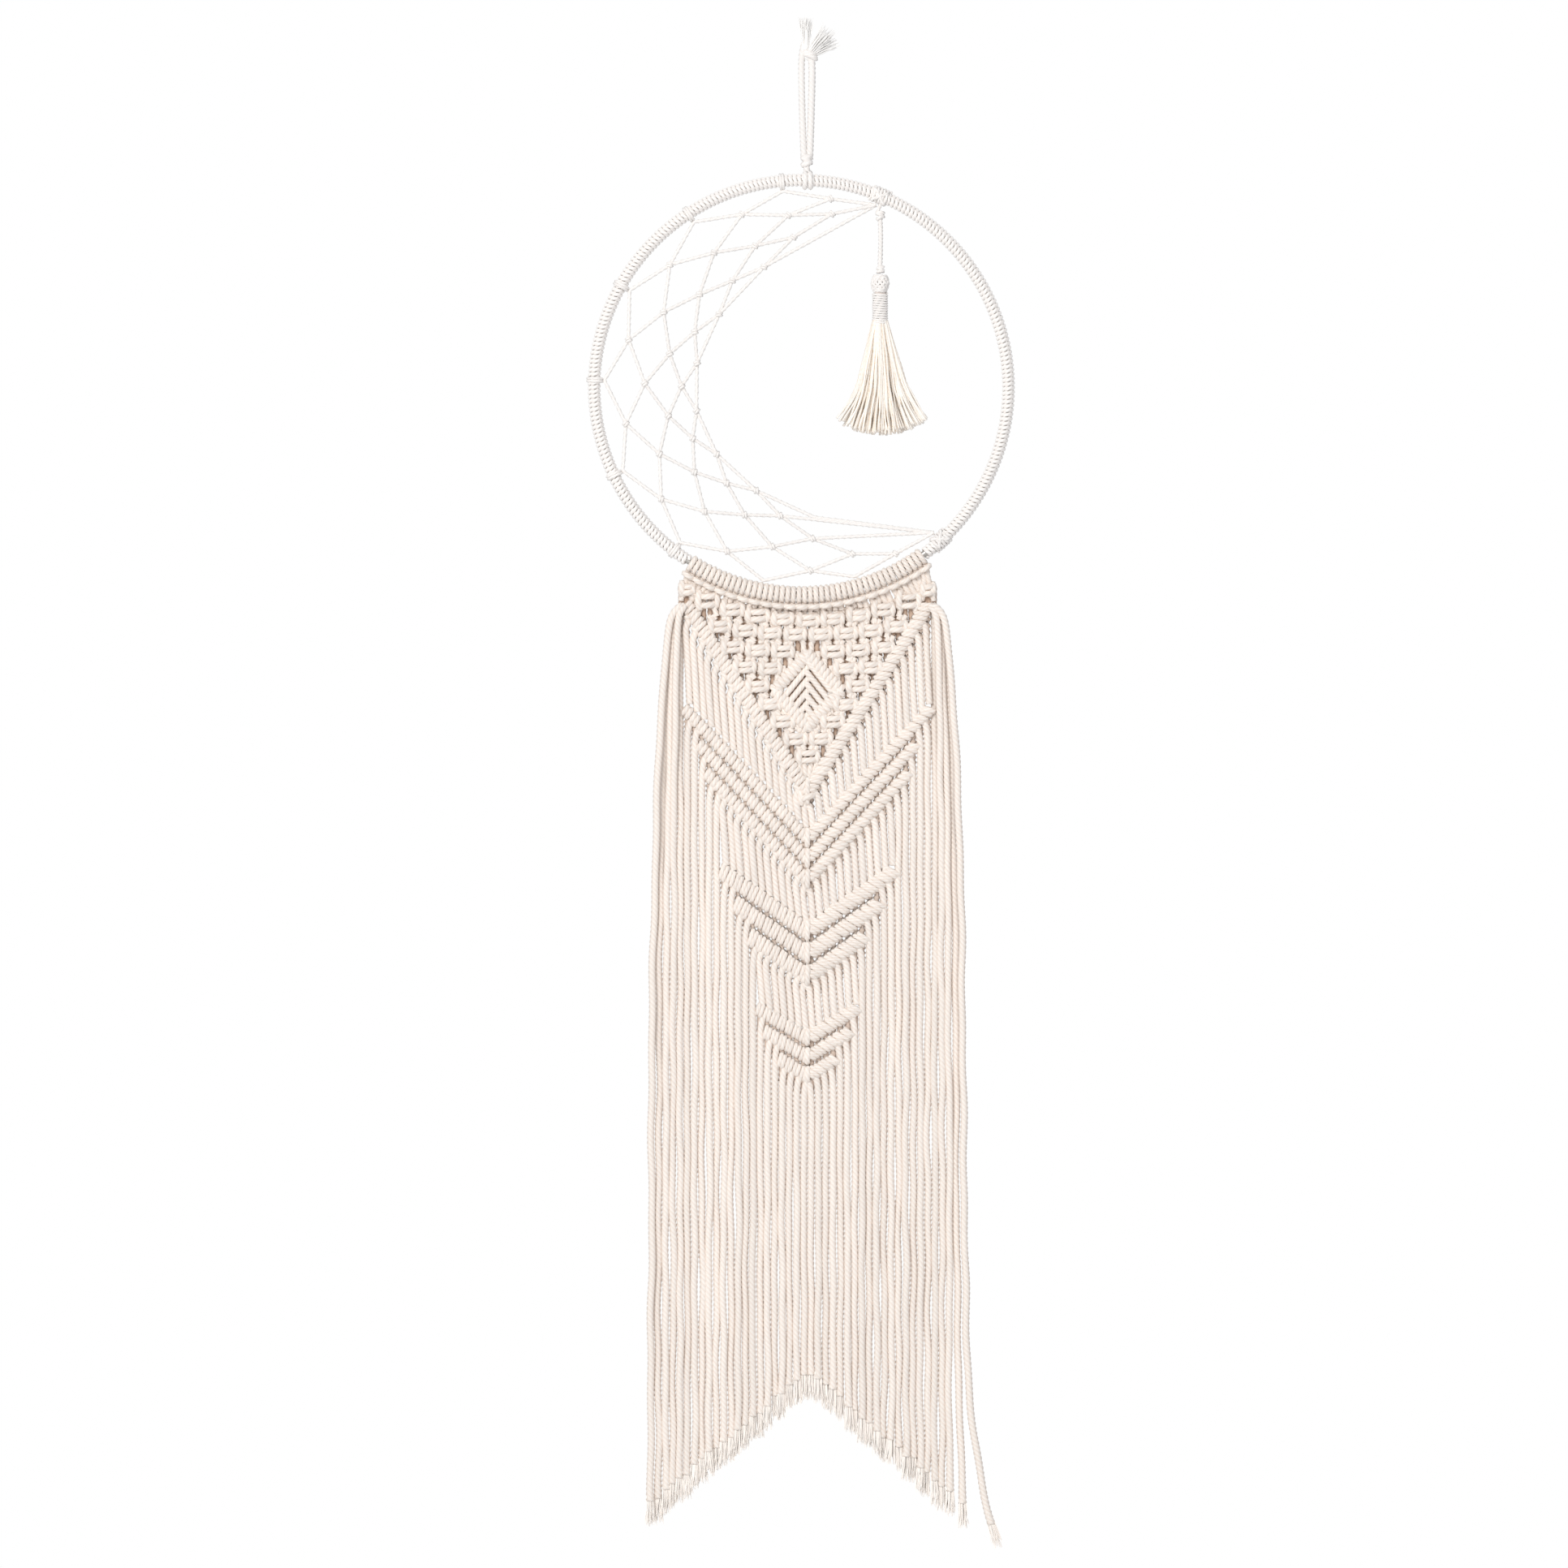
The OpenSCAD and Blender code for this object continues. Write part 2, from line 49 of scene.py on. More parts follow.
MM = 0.001
VIEW_WIDTH = 0.7342
CAMERA_DISTANCE = 6.0
VIEW_MIDDLE = (-0.011, -0.3374)
FLOOR_Z = -0.95

scene = bpy.context.scene
scene.view_settings.view_transform = "Standard"

camera = bpy.data.objects.new("studio_camera", bpy.data.cameras.new("studio_camera"))
camera.data.sensor_width = 36.0
camera.data.lens = camera.data.sensor_width * CAMERA_DISTANCE / VIEW_WIDTH
camera.data.clip_end = 100.0
camera.location = (VIEW_MIDDLE[0], -CAMERA_DISTANCE, VIEW_MIDDLE[1])
camera.rotation_euler = (np.pi / 2, 0.0, 0.0)
scene.collection.objects.link(camera)
scene.camera = camera

lamp = bpy.data.objects.new("soft_lamp", bpy.data.lights.new("soft_lamp", "AREA"))
lamp.data.size = 1.0
lamp.data.energy = 44.0
lamp.data.color = (1.0, 0.985, 0.96)
lamp.location = (-0.9, -2.6, 0.8)
lamp.rotation_euler = (np.radians(67.0), 0.0, np.radians(-19.0))
scene.collection.objects.link(lamp)


def node(kind, settings=(), inputs=()):
    """A node of that kind in the tree at hand, with its settings and its inputs: a value is
    set, and another node's output is linked."""
    made = nodes.new(kind)
    for key, value in dict(settings).items():
        setattr(made, key, value)
    for key, value in dict(inputs).items():
        if isinstance(value, bpy.types.NodeSocket):
            links.new(value, made.inputs[key])
        else:
            made.inputs[key].default_value = value
    return made


surround = bpy.data.worlds.new("white_surround")
surround.use_nodes = True
nodes, links = surround.node_tree.nodes, surround.node_tree.links
nodes.clear()
seen = node("ShaderNodeBackground", {}, {"Color": (1.0, 1.0, 1.0, 1.0)}).outputs[0]
lit = node("ShaderNodeBackground", {}, {"Color": (0.97, 0.98, 1.0, 1.0), "Strength": 0.62}).outputs[0]
ray = node("ShaderNodeLightPath").outputs["Is Camera Ray"]
which = node("ShaderNodeMixShader", {}, {0: ray, 1: lit, 2: seen}).outputs[0]
node("ShaderNodeOutputWorld", {}, {"Surface": which})
scene.world = surround

floor_mesh = bpy.data.meshes.new("floor")
floor_mesh.from_pydata(
    [(-3, -5, FLOOR_Z), (3, -5, FLOOR_Z), (3, 1.5, FLOOR_Z), (-3, 1.5, FLOOR_Z)],
    [], [(0, 1, 2, 3)],
)
floor = bpy.data.objects.new("floor", floor_mesh)
scene.collection.objects.link(floor)
floor_paint = bpy.data.materials.new("pale_floor")
floor_paint.use_nodes = True
floor_paint.node_tree.nodes["Principled BSDF"].inputs["Base Color"].default_value = (0.86, 0.86, 0.86, 1)
floor_paint.node_tree.nodes["Principled BSDF"].inputs["Roughness"].default_value = 0.9
floor_mesh.materials.append(floor_paint)

# ---- Fringe ------------------------------------------------------------------------------
# Forty-four strands of soft four-ply cotton cord, 3 mm thick, that leave the V ridge's ends and
# the bands and hang free. Each is the end of a panel cord, cut on a slant and combed out into a
# brush. They are made first, because they are the free cords.

draw = np.random.default_rng(22)

CORD_R = 1.8
CORD_LAY = 9.4
CORD_APART = 37.0
PITCH = 3.41
RIDGE_D = 6.21
HOOP_BOTTOM = -251.6
FRINGE_DROP = 374.4
FRINGE_STEP = 2.9
SPLAY = 13.0
RIGHT_EXTRA = 9.6
FRAY_LENGTH = 12.5

V_RIDGE = (-341.08, 57.18)
BAND_A = ((-363.08, 46.6, 17), (-372.7, 46.6, 15), (-382.32, 46.6, 14))
BAND_B = ((-406.321, 35.0, 12), (-416.88, 35.0, 10), (-427.44, 35.0, 8))
BAND_C = ((-456.44, 31.0, 7), (-465.201, 31.0, 6), (-473.963, 31.0, 4))
RIDGE_W = {57.18: 7.6, 46.6: 6.7, 35.0: 8.5, 31.0: 7.4}
V_HALF_WIDTH = 57.065


def ridge_z(point, slope, x):
    """Height of a ridge's middle line: the height of its point plus the distance from the
    middle times the tangent of its slope."""
    return point + np.abs(x) * np.tan(np.radians(slope))


def ridge_room(slope):
    """How far above or below a ridge's middle line a strand starts: half the ridge's thickness
    over the cosine of its slope, plus the strand's own half width times the tangent."""
    wide, slope = RIDGE_W[slope], np.radians(slope)
    return wide / 2 / np.cos(slope) + 1.5 * np.tan(slope) + 0.1


def unit(vectors):
    """Each vector divided by its own length."""
    return vectors / np.linalg.norm(vectors, axis=-1, keepdims=True)


def cord(paths, radius, lay=CORD_LAY, side=(0.0, 1.0, 0.0), plies=4, groove=0.17, sides=8,
         closed=False, phase=0.0, tone=None, deep=0.0, press=None, flank_shade=0.45):
    """Twisted cords along paths of N cords by M points. At each point the section is a ring of
    radius * (1 - groove * (1 - cos(plies * angle)) / 2), in the plane across the path, and it
    turns once round the path in each lay of length, as the plies do. side is a direction that
    the paths never run along. press is the direction in which neighbours lie against the cord:
    its flanks there get painted shade by how far they face that way past 0.7, times the flank
    share given. A cord that lies behind others gets painted shade on its front: its share given
    times 0.5 less the share of its outward way that points back, cut to 0 and 1. Gives points,
    faces, end faces and the marks that the cotton reads: the place on the cord, how far into a
    groove between plies a point is, which sets painted shade there, the painted shade of its
    flanks and front, and the cord's own tone."""
    paths = np.asarray(paths, float)
    count, steps = paths.shape[:2]
    if closed:
        ahead, behind = np.roll(paths, -1, 1), np.roll(paths, 1, 1)
    else:
        ahead = np.concatenate([paths[:, 1:], paths[:, -1:]], 1)
        behind = np.concatenate([paths[:, :1], paths[:, :-1]], 1)
    way = unit(ahead - behind)
    across = unit(np.cross(np.broadcast_to(np.asarray(side, float), way.shape), way))
    third = np.cross(way, across)
    gone = np.linalg.norm(np.diff(paths, axis=1), axis=2)
    gone = np.concatenate([np.zeros((count, 1)), np.cumsum(gone, 1)], 1)
    if closed:
        whole = gone[:, -1:] + np.linalg.norm(paths[:, :1] - paths[:, -1:], axis=2)
        turn = gone / whole * 2 * np.pi * np.maximum(1, np.round(whole * plies / lay)) / plies
    else:
        turn = gone / lay * 2 * np.pi
    turn = -turn - np.broadcast_to(np.asarray(phase, float).reshape(-1, 1), (count, 1))
    angle = np.arange(sides) * 2 * np.pi / sides
    dip = (1 - np.cos(plies * angle)) / 2
    size = np.broadcast_to(np.asarray(radius, float), (count, steps))[:, :, None] * (1 - groove * dip)
    spin = angle + turn[:, :, None]
    outward = (np.cos(spin)[..., None] * across[:, :, None] + np.sin(spin)[..., None] * third[:, :, None])
    points = paths[:, :, None] + size[..., None] * outward
    painted_shade = deep * np.clip(0.5 - outward[..., 1], 0, 1)
    if press is not None:
        facing = np.abs(np.sum(outward * np.asarray(press, float), axis=-1))
        painted_shade = np.maximum(painted_shade, flank_shade * np.clip((facing - 0.7) / 0.3, 0, 1))
    ring = np.arange(sides)
    step = np.arange(steps if closed else steps - 1)
    a = (np.arange(count)[:, None, None] * steps + step[None, :, None]) * sides + ring
    b = (np.arange(count)[:, None, None] * steps + step[None, :, None]) * sides + (ring + 1) % sides
    c = (np.arange(count)[:, None, None] * steps + (step[None, :, None] + 1) % steps) * sides
    quads = np.stack([a, b, c + (ring + 1) % sides, c + ring], -1).reshape(-1, 4)
    ends = np.zeros((0, sides), int)
    if not closed:
        first = np.arange(count)[:, None] * steps * sides + ring[::-1]
        last = (np.arange(count)[:, None] * steps + steps - 1) * sides + ring
        ends = np.concatenate([first, last])
    place = np.stack(np.broadcast_arrays(
        size * np.cos(angle), size * np.sin(angle),
        gone[:, :, None] + CORD_APART * np.arange(count)[:, None, None]), -1)
    if tone is None:
        tone = draw.uniform(0, 1, count)
    marks = {
        "place": place.reshape(-1, 3) * MM,
        "groove": np.broadcast_to(dip, size.shape).ravel(),
        "tone": np.repeat(np.asarray(tone, float), steps * sides),
        "deep": painted_shade.ravel(),
    }
    return points.reshape(-1, 3), quads, ends, marks


def build(name, parts, material, slot, smooth=True):
    """One object from several lots of cords. The lots' points and faces are put one after the
    other, in metres, into one mesh at the origin."""
    offset, points, quads, ends, marks = 0, [], [], [], []
    for p, q, e, m in parts:
        points.append(p)
        quads.append(q + offset)
        ends.append(e + offset)
        marks.append(m)
        offset += len(p)
    points = np.concatenate(points) * MM
    quads = np.concatenate(quads)
    corners = np.concatenate([quads.ravel()] + [e.ravel() for e in ends])
    sizes = np.concatenate([np.full(len(quads), 4)] + [np.full(len(e), e.shape[1]) for e in ends])
    mesh = bpy.data.meshes.new(name)
    mesh.vertices.add(len(points))
    mesh.vertices.foreach_set("co", points.astype(np.float32).ravel())
    mesh.loops.add(len(corners))
    mesh.loops.foreach_set("vertex_index", corners.astype(np.int32))
    mesh.polygons.add(len(sizes))
    mesh.polygons.foreach_set("loop_start", (np.cumsum(sizes) - sizes).astype(np.int32))
    mesh.polygons.foreach_set("use_smooth", np.full(len(sizes), smooth))
    mesh.update(calc_edges=True)
    mesh.validate()
    place = mesh.attributes.new("place", "FLOAT_VECTOR", "POINT")
    places = np.concatenate([m["place"] for m in marks])
    place.data.foreach_set("vector", places.astype(np.float32).ravel())
    for key in ("groove", "tone", "deep"):
        mark = mesh.attributes.new(key, "FLOAT", "POINT")
        mark.data.foreach_set("value", np.concatenate([m[key] for m in marks]).astype(np.float32))
    mesh.materials.append(material)
    piece = bpy.data.objects.new(name, mesh)
    scene.collection.objects.link(piece)
    return piece


cotton = bpy.data.node_groups.new("cotton_yarn", "ShaderNodeTree")
for name, kind, value in (("Cotton Color", "Color", (0.9, 0.85, 0.8, 1)),
                          ("Painted Shade Color", "Color", (0.75, 0.6, 0.48, 1)),
                          ("Groove Shade", "Float", 0.35), ("Thread Scale", "Float", 1.0),
                          ("Tone Spread", "Float", 0.06)):
    made = cotton.interface.new_socket(name, in_out="INPUT", socket_type="NodeSocket" + kind)
    made.default_value = value
for name, kind in (("Color", "Color"), ("Roughness", "Float"), ("Height", "Float")):
    cotton.interface.new_socket(name, in_out="OUTPUT", socket_type="NodeSocket" + kind)
nodes, links = cotton.nodes, cotton.links


def sum_of(kind, a, b):
    """A Math node's result of a and b."""
    return node("ShaderNodeMath", {"operation": kind}, {0: a, 1: b}).outputs[0]


THREADS_PER_METRE = (2600.0, 2600.0, 260.0)
given = node("NodeGroupInput").outputs
groove = node("ShaderNodeAttribute", {"attribute_name": "groove"}).outputs["Fac"]
deep = node("ShaderNodeAttribute", {"attribute_name": "deep"}).outputs["Fac"]
tone = node("ShaderNodeAttribute", {"attribute_name": "tone"}).outputs["Fac"]
place = node("ShaderNodeAttribute", {"attribute_name": "place"}).outputs["Vector"]
drawn = node("ShaderNodeVectorMath", {"operation": "MULTIPLY"},
             {0: place, 1: THREADS_PER_METRE}).outputs[0]
drawn = node("ShaderNodeVectorMath", {"operation": "SCALE"},
             {0: drawn, "Scale": given["Thread Scale"]}).outputs[0]
threads = node("ShaderNodeTexNoise", {}, {"Vector": drawn, "Scale": 1.0, "Detail": 2.0,
                                          "Roughness": 0.6}).outputs["Fac"]
here = node("ShaderNodeTexCoord").outputs["Object"]
blotch = node("ShaderNodeTexNoise", {}, {"Vector": here, "Scale": 55.0, "Detail": 2.0}).outputs["Fac"]
lighter = sum_of("MULTIPLY", sum_of("SUBTRACT", tone, 0.5), given["Tone Spread"])
lighter = sum_of("ADD", lighter, sum_of("MULTIPLY", sum_of("SUBTRACT", threads, 0.5), 0.16))
lighter = sum_of("ADD", lighter, sum_of("MULTIPLY", sum_of("SUBTRACT", blotch, 0.5), 0.05))
value = sum_of("ADD", 1.0, lighter)
# Painted shade: the colour is mixed towards the painted shade colour in the ply grooves and where cords
# carry painted shade on flanks and fronts.
shaded = node("ShaderNodeMath", {"operation": "MULTIPLY", "use_clamp": True},
              {0: sum_of("POWER", groove, 1.5), 1: given["Groove Shade"]}).outputs[0]
shaded = node("ShaderNodeMath", {"operation": "MAXIMUM"}, {0: shaded, 1: deep}).outputs[0]
mixed = node("ShaderNodeMix", {"data_type": "RGBA"},
             {0: shaded, 6: given["Cotton Color"], 7: given["Painted Shade Color"]}).outputs[2]
tinted = node("ShaderNodeHueSaturation", {}, {"Value": value, "Color": mixed}).outputs["Color"]
rough = sum_of("ADD", 0.78, sum_of("MULTIPLY", threads, 0.2))
node("NodeGroupOutput", {}, {"Color": tinted, "Roughness": rough, "Height": threads})


def cotton_finish(name, color, shade_color, groove_shade, thread_scale, tone_spread, bump):
    """Matt cotton: the yarn group gives colour, roughness and a height of fine threads that
    follow the plies; a light sheen stands for the loose fibres. The second colour is painted
    shade, laid into the ply grooves and onto the marked flanks and fronts of cords."""
    global nodes, links
    finish = bpy.data.materials.new(name)
    finish.use_nodes = True
    nodes, links = finish.node_tree.nodes, finish.node_tree.links
    shader = nodes["Principled BSDF"]
    yarn = node("ShaderNodeGroup", {"node_tree": cotton},
                {"Cotton Color": (*color, 1), "Painted Shade Color": (*shade_color, 1),
                 "Groove Shade": groove_shade, "Thread Scale": thread_scale,
                 "Tone Spread": tone_spread})
    raised = node("ShaderNodeBump", {}, {"Height": yarn.outputs["Height"], "Strength": bump,
                                         "Distance": 0.0001})
    links.new(yarn.outputs["Color"], shader.inputs["Base Color"])
    links.new(yarn.outputs["Roughness"], shader.inputs["Roughness"])
    links.new(raised.outputs["Normal"], shader.inputs["Normal"])
    shader.inputs["Specular IOR Level"].default_value = 0.2
    shader.inputs["Sheen Weight"].default_value = 0.15
    shader.inputs["Sheen Roughness"].default_value = 0.6
    return finish


# Painted shade colours: the cotton is mixed towards them in the ply grooves, on flanks against neighbours
# and on the fronts of cords behind others.
PAINTED_SHADE_TAN = (0.60, 0.41, 0.29)
WHITE_PAINTED_SHADE = (0.66, 0.56, 0.50)
cream_cotton = cotton_finish("cream_cotton", (0.950, 0.890, 0.835), PAINTED_SHADE_TAN, 0.30, 1.0, 0.07, 0.35)
white_cotton = cotton_finish("white_cotton", (0.930, 0.905, 0.885), WHITE_PAINTED_SHADE, 0.26, 1.2, 0.05, 0.3)
combed_cream = cotton_finish("combed_cream", (0.995, 0.940, 0.890), PAINTED_SHADE_TAN, 0.0, 1.0, 0.12, 0.1)
combed_white = cotton_finish("combed_white", (0.985, 0.970, 0.955), PAINTED_SHADE_TAN, 0.0, 1.0, 0.12, 0.1)
CREAM = (cream_cotton, "cream_cord")
WHITE = (white_cotton, "white_cord")
FRONT_TO_BACK = np.array((0.0, 1.0, 0.0))


def rider(name, parts, look, body, *nodes):
    """A piece that stands for the named CAD nodes and rides on one body."""
    piece = build(name, parts, *look)
    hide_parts(*nodes)
    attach(piece, body)


def last_ridge(i, band):
    """The lowest ridge of a band that strand i is knotted into."""
    return next(r for r in reversed(band) if i < r[2])


def strand_path(side, i, top_z, top_x, ease_x, ease_y, length, turn):
    """A hanging strand's middle line, from its exit down. Sideways it is its place in the row,
    less its lean times exp(-drop/75), plus three slow waves that grow from nothing over the
    first 60 mm, plus its turn-out times (drop/length)^10. Depth is its layer times
    exp(-drop/150) plus waves of its own."""
    drop = np.linspace(0, length, int(length / 0.8))
    grow = 1 - np.exp(-drop / 60.0)
    amount = draw.uniform(0.12, 0.34, 3)
    waves = sum(amount[k] * np.sin(2 * np.pi * drop / span + draw.uniform(0, 6.3))
                for k, span in enumerate((170.0, 83.0, 41.0)))
    depth = 0.45 * np.sin(2 * np.pi * drop / 120.0 + draw.uniform(0, 6.3))
    layer = 0.55 * (-1) ** i
    x = side * ((i + 0.5) * PITCH - ease_x * np.exp(-drop / 75.0) + turn * (drop / length) ** 10)
    hook = side * (top_x - ease_x) * np.exp(-drop / 3.0)
    y = ease_y * np.exp(-drop / 150.0) + (depth + layer) * grow
    return np.stack([x - hook + waves * grow, y, top_z - drop], 1)


def brush(end, way, count, length, spread, radius):
    """Loose fibres that fan out of a cord's cut end: each starts inside the cord, a share of
    the cord's radius off its middle line, and at share s of its own length has moved off by
    that start times (1 + spread * s^1.4), with a slight wave. Each thins to half."""
    s = np.linspace(0, 1, 6)
    turn = draw.uniform(0, 2 * np.pi, count)
    off = np.sqrt(draw.uniform(0, 1, count)) * radius
    long = length * draw.uniform(0.62, 1.0, count)
    out = off[:, None] * (1 + spread * s ** 1.4)
    wave = 0.35 * np.sin(s * draw.uniform(3, 8, (count, 1)) + turn[:, None]) * s
    side = unit(np.cross(way, FRONT_TO_BACK))
    front = np.cross(side, way)
    middle = end + way * ((long[:, None] + 3.5) * s - 3.5)[..., None]
    paths = (middle + side * (out * np.cos(turn)[:, None] + wave)[..., None]
             + front * (out * np.sin(turn)[:, None] * 0.8)[..., None])
    fine = 0.3 * (1 - 0.5 * s)
    return cord(paths, fine[None], lay=1e6, side=front, plies=3, groove=0.0, sides=3,
                tone=draw.uniform(0.2, 1, count))


GROUPS = {
    "outer": ("panel", range(17, 22)),
    "a": ("band_a", range(12, 17)),
    "b": ("band_b", range(7, 12)),
    "c": ("band_c", range(0, 7)),
}
HINGE_Z = {"outer": -259.13, "a": -343.65, "b": -415.92, "c": -478.29}
V_END_Z = HOOP_BOTTOM - 1.0
for group, (parent, places) in GROUPS.items():
    for side, word in ((-1, "left"), (1, "right")):
        body = f"fringe_{group}_{word}"
        for i in places:
            turn, extra, ease_x, ease_y, inward = 0.0, 0.0, 0.0, 0.0, 1.8
            if group == "outer":
                fan = (max(0, i - 19) / 2) ** 2 if side > 0 else 0.0
                turn, extra = SPLAY * fan, RIGHT_EXTRA * fan
                ease_x = (i - 17) * (PITCH - 1.0)
                ease_y = (i % 3 - 1) * 3.0
                top_z, inward = HINGE_Z["outer"] + 5.5, ease_x + 3.2 + 0.5 * (i - 17)
            else:
                ridge = last_ridge(i, {"a": BAND_A, "b": BAND_B, "c": BAND_C}[group])
                top_z = ridge_z(ridge[0], ridge[1], (i + 0.5) * PITCH) - ridge_room(ridge[1]) + 2.2
            end_z = HOOP_BOTTOM - FRINGE_DROP - FRINGE_STEP * i - extra
            length = top_z - end_z - FRAY_LENGTH + draw.uniform(-1.5, 1.2)
            path = strand_path(side, i, top_z, inward, ease_x, ease_y, length, turn)
            share = np.linspace(0, 1, len(path))
            thick = CORD_R * (1 + 0.12 * np.clip((share - 0.975) / 0.025, 0, 1))
            # Painted shade on the strand's flanks, where it lies against its neighbours.
            strand = build(f"strand_{group}_{word}_{i:02d}",
                           [cord(path[None], thick[None], phase=draw.uniform(0, 6.3), press=(1, 0, 0))],
                           *CREAM)
            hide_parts(body)
            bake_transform(strand)
            way = unit(path[-1] - path[-12])
            tip = build(f"fray_{group}_{word}_{i:02d}",
                        [brush(path[-1], way, 54, FRAY_LENGTH - 0.5, 0.8, 1.5)],
                        combed_cream, "cream_cord", smooth=False)
            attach(tip, body)

# ---- Ridges and bands --------------------------------------------------------------------
# Each ridge is a row of double half hitches: every panel cord is wrapped twice round one
# carrier cord that is held on a slant, so the ridge shows as pairs of tight slanted turns.
# The V ridge ends the net; bands A, B and C have three ridges a side and meet in a point.

HITCH_TILT = {-1: 14.0, 1: 27.0}


def round_angles(steps):
    """Angles evenly spread round a whole turn, for a closed loop."""
    return np.linspace(0, 2 * np.pi, steps, endpoint=False)


def turns_round(middle, out, across, depth, radius, **kind):
    """Closed turns of cord round a carrier, one at each middle: a turn goes out by across *
    cos(angle) in its own direction in the panel's plane, and by depth * sin(angle) to the
    front and back. Their flanks, where turn lies against turn, get painted shade."""
    angle = round_angles(16)
    loops = (middle[:, None] + out[:, None] * (across * np.cos(angle))[..., None]
             + FRONT_TO_BACK * (depth * np.sin(angle))[None, :, None])
    normal = np.cross(out, FRONT_TO_BACK)[:, None]
    return cord(loops, radius, side=normal, closed=True, press=normal[:, :, None], groove=0.2,
                phase=draw.uniform(0, 6, len(middle)), **kind)


def hitches(side, ridge, pitch):
    """The turns on one arm of a ridge: turn j of twice the strands sits at (j + 0.5) / 2
    pitches from the middle on the ridge's line, drawn to its twin by a little, and is tilted
    from square by the side's tilt. The left arm has one more turn, upright, at the point.
    Behind them lie the carrier and the parts of the strands that pass down to the next ridge,
    both with painted shade on their fronts."""
    point, slope, count = ridge
    lean, wide = np.radians(slope), RIDGE_W[slope]
    j = np.arange(2 * count)
    pair = np.where(j % 2 == 0, 0.05, -0.05)
    x = (j + 0.5 + pair) * pitch / 2
    radius = min(0.6 * pitch / 2 / np.cos(lean), 1.5)
    tilt = np.radians(HITCH_TILT[side]) + draw.uniform(-0.09, 0.09, len(j))
    base = np.pi / 2 + side * lean
    out = np.stack([np.cos(base + tilt), np.zeros_like(tilt), np.sin(base + tilt)], 1)
    middle = np.stack([side * x, np.zeros_like(x), ridge_z(point, slope, x)], 1)
    reach = (wide / 2 - radius) * draw.uniform(0.93, 1.1, (len(j), 1)) / np.cos(tilt)[:, None]
    parts = [turns_round(middle, out, reach, RIDGE_D / 2 - radius,
                         radius * draw.uniform(0.95, 1.07, (len(j), 1)))]
    if side < 0:
        tall = wide / 2 / np.cos(lean) - 1.2
        parts.append(turns_round(np.array([[0.0, -0.5, point + 0.6]]), np.array([[0.05, 0.0, 1.0]]),
                                 tall, 1.9, 1.55))
    share = np.linspace(0, 1, 24)[:, None]
    carrier = middle[0] * (1 - share) + middle[-1] * share
    parts.append(cord(carrier[None], RIDGE_D / 2 - radius, deep=0.5))
    s = np.linspace(0, 1, 6)
    foot = side * (np.arange(count) + 0.5) * PITCH
    drop = (wide + 1.0) / np.cos(lean)
    behind = np.stack([foot[:, None] + 0 * s, 1.5 + 0 * foot[:, None] + 0 * s,
                       ridge_z(point, slope, foot)[:, None] - drop * s], -1)
    keep = np.abs(foot) < x[-1]
    parts.append(cord(behind[keep], 1.8, deep=0.55))
    return parts


for side, word in ((-1, "left"), (1, "right")):
    for name, ridges, pitch, body, stands_for in (
            ("v_hitches", (V_RIDGE,), V_HALF_WIDTH / 22, "panel", "v_ridge"),
            ("hitches_a", BAND_A, PITCH, "band_a", "band_a"),
            ("hitches_b", BAND_B, PITCH, "band_b", "band_b"),
            ("hitches_c", BAND_C, PITCH, "band_c", "band_c")):
        parts = [part for ridge in ridges
                 for part in hitches(side, ridge if name != "v_hitches" else (*V_RIDGE, 22), pitch)]
        rider(f"{name}_{word}", parts, CREAM, body, f"{stands_for}_{word}")

# ---- Strands between the ridges ----------------------------------------------------------
# The same panel cords, free for 8 to 34 mm between one ridge and the next, and drawn 5 mm
# longer behind the ridge above and 3 mm behind the ridge below. Each comes out
# under a ridge in a small outward hook and leans a little to the right on its way down. It
# runs across the joint between the two bands that it ties together.

TUCK_TOP = 5.0
TUCK_END = 3.0
GAPS = (
    ("v", V_RIDGE, BAND_A, "panel", "band_a", "v_strands"),
    ("a", BAND_A[2], BAND_B, "band_a", "band_b", "a_strands"),
    ("b", BAND_B[2], BAND_C, "band_b", "band_c", "b_strands"),
)
for letter, above, band, upper, lower, stem in GAPS:
    below = band[0]
    for side, word in ((-1, "left"), (1, "right")):
        for i in range(below[2]):
            x = (i + 0.5) * PITCH
            high = ridge_z(above[0], above[1], x) - ridge_room(above[1]) + TUCK_TOP
            low = ridge_z(below[0], below[1], x) + ridge_room(below[1]) - TUCK_END
            s = np.linspace(0, 1, max(18, int((high - low) / 0.8)))
            drop = (high - low) * s
            hook = 1.7 * np.exp(-((drop - 2.4) / 2.6) ** 2)
            bend = draw.uniform(-0.3, 0.3) * np.sin(np.pi * s)
            lean = (s - 0.55) * (2.6 if side < 0 else 1.8)
            path = np.stack([side * (x - hook) + lean + bend,
                             0.5 * (-1) ** i * np.sin(np.pi * s) + 0.4 * np.sin(2 * np.pi * s),
                             high - drop], 1)
            # Painted shade on the strand's flanks, where it lies against its neighbours.
            strand = build(f"{letter}_strand_{word}_{i:02d}",
                           [cord(path[None], 1.82, phase=draw.uniform(0, 6.3), press=(1, 0, 0))],
                           *CREAM)
            if side < 0 and i == 0:
                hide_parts(f"{stem}_upper", f"{stem}_lower")
            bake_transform(strand)

# ---- Net of square knots -----------------------------------------------------------------
# Nine square knots in the first row and one fewer in each row below, four strands to a knot.
# The knots leave out the diamond. A knot is two bars of the outer strands crossed over the
# inner two, with a loop down its left side; the next row joins halves of two neighbours.

ROWS = 9
KNOT_PITCH = 11.79
ROW_PITCH = 8.16
FIRST_ROW_Z = -259.0
ROW_BEND = 9.0
DIAMOND_Z = FIRST_ROW_Z - 4.25 * ROW_PITCH
DIAMOND_W = 15.5
DIAMOND_H = 17.0
FRAME_D = 5.7


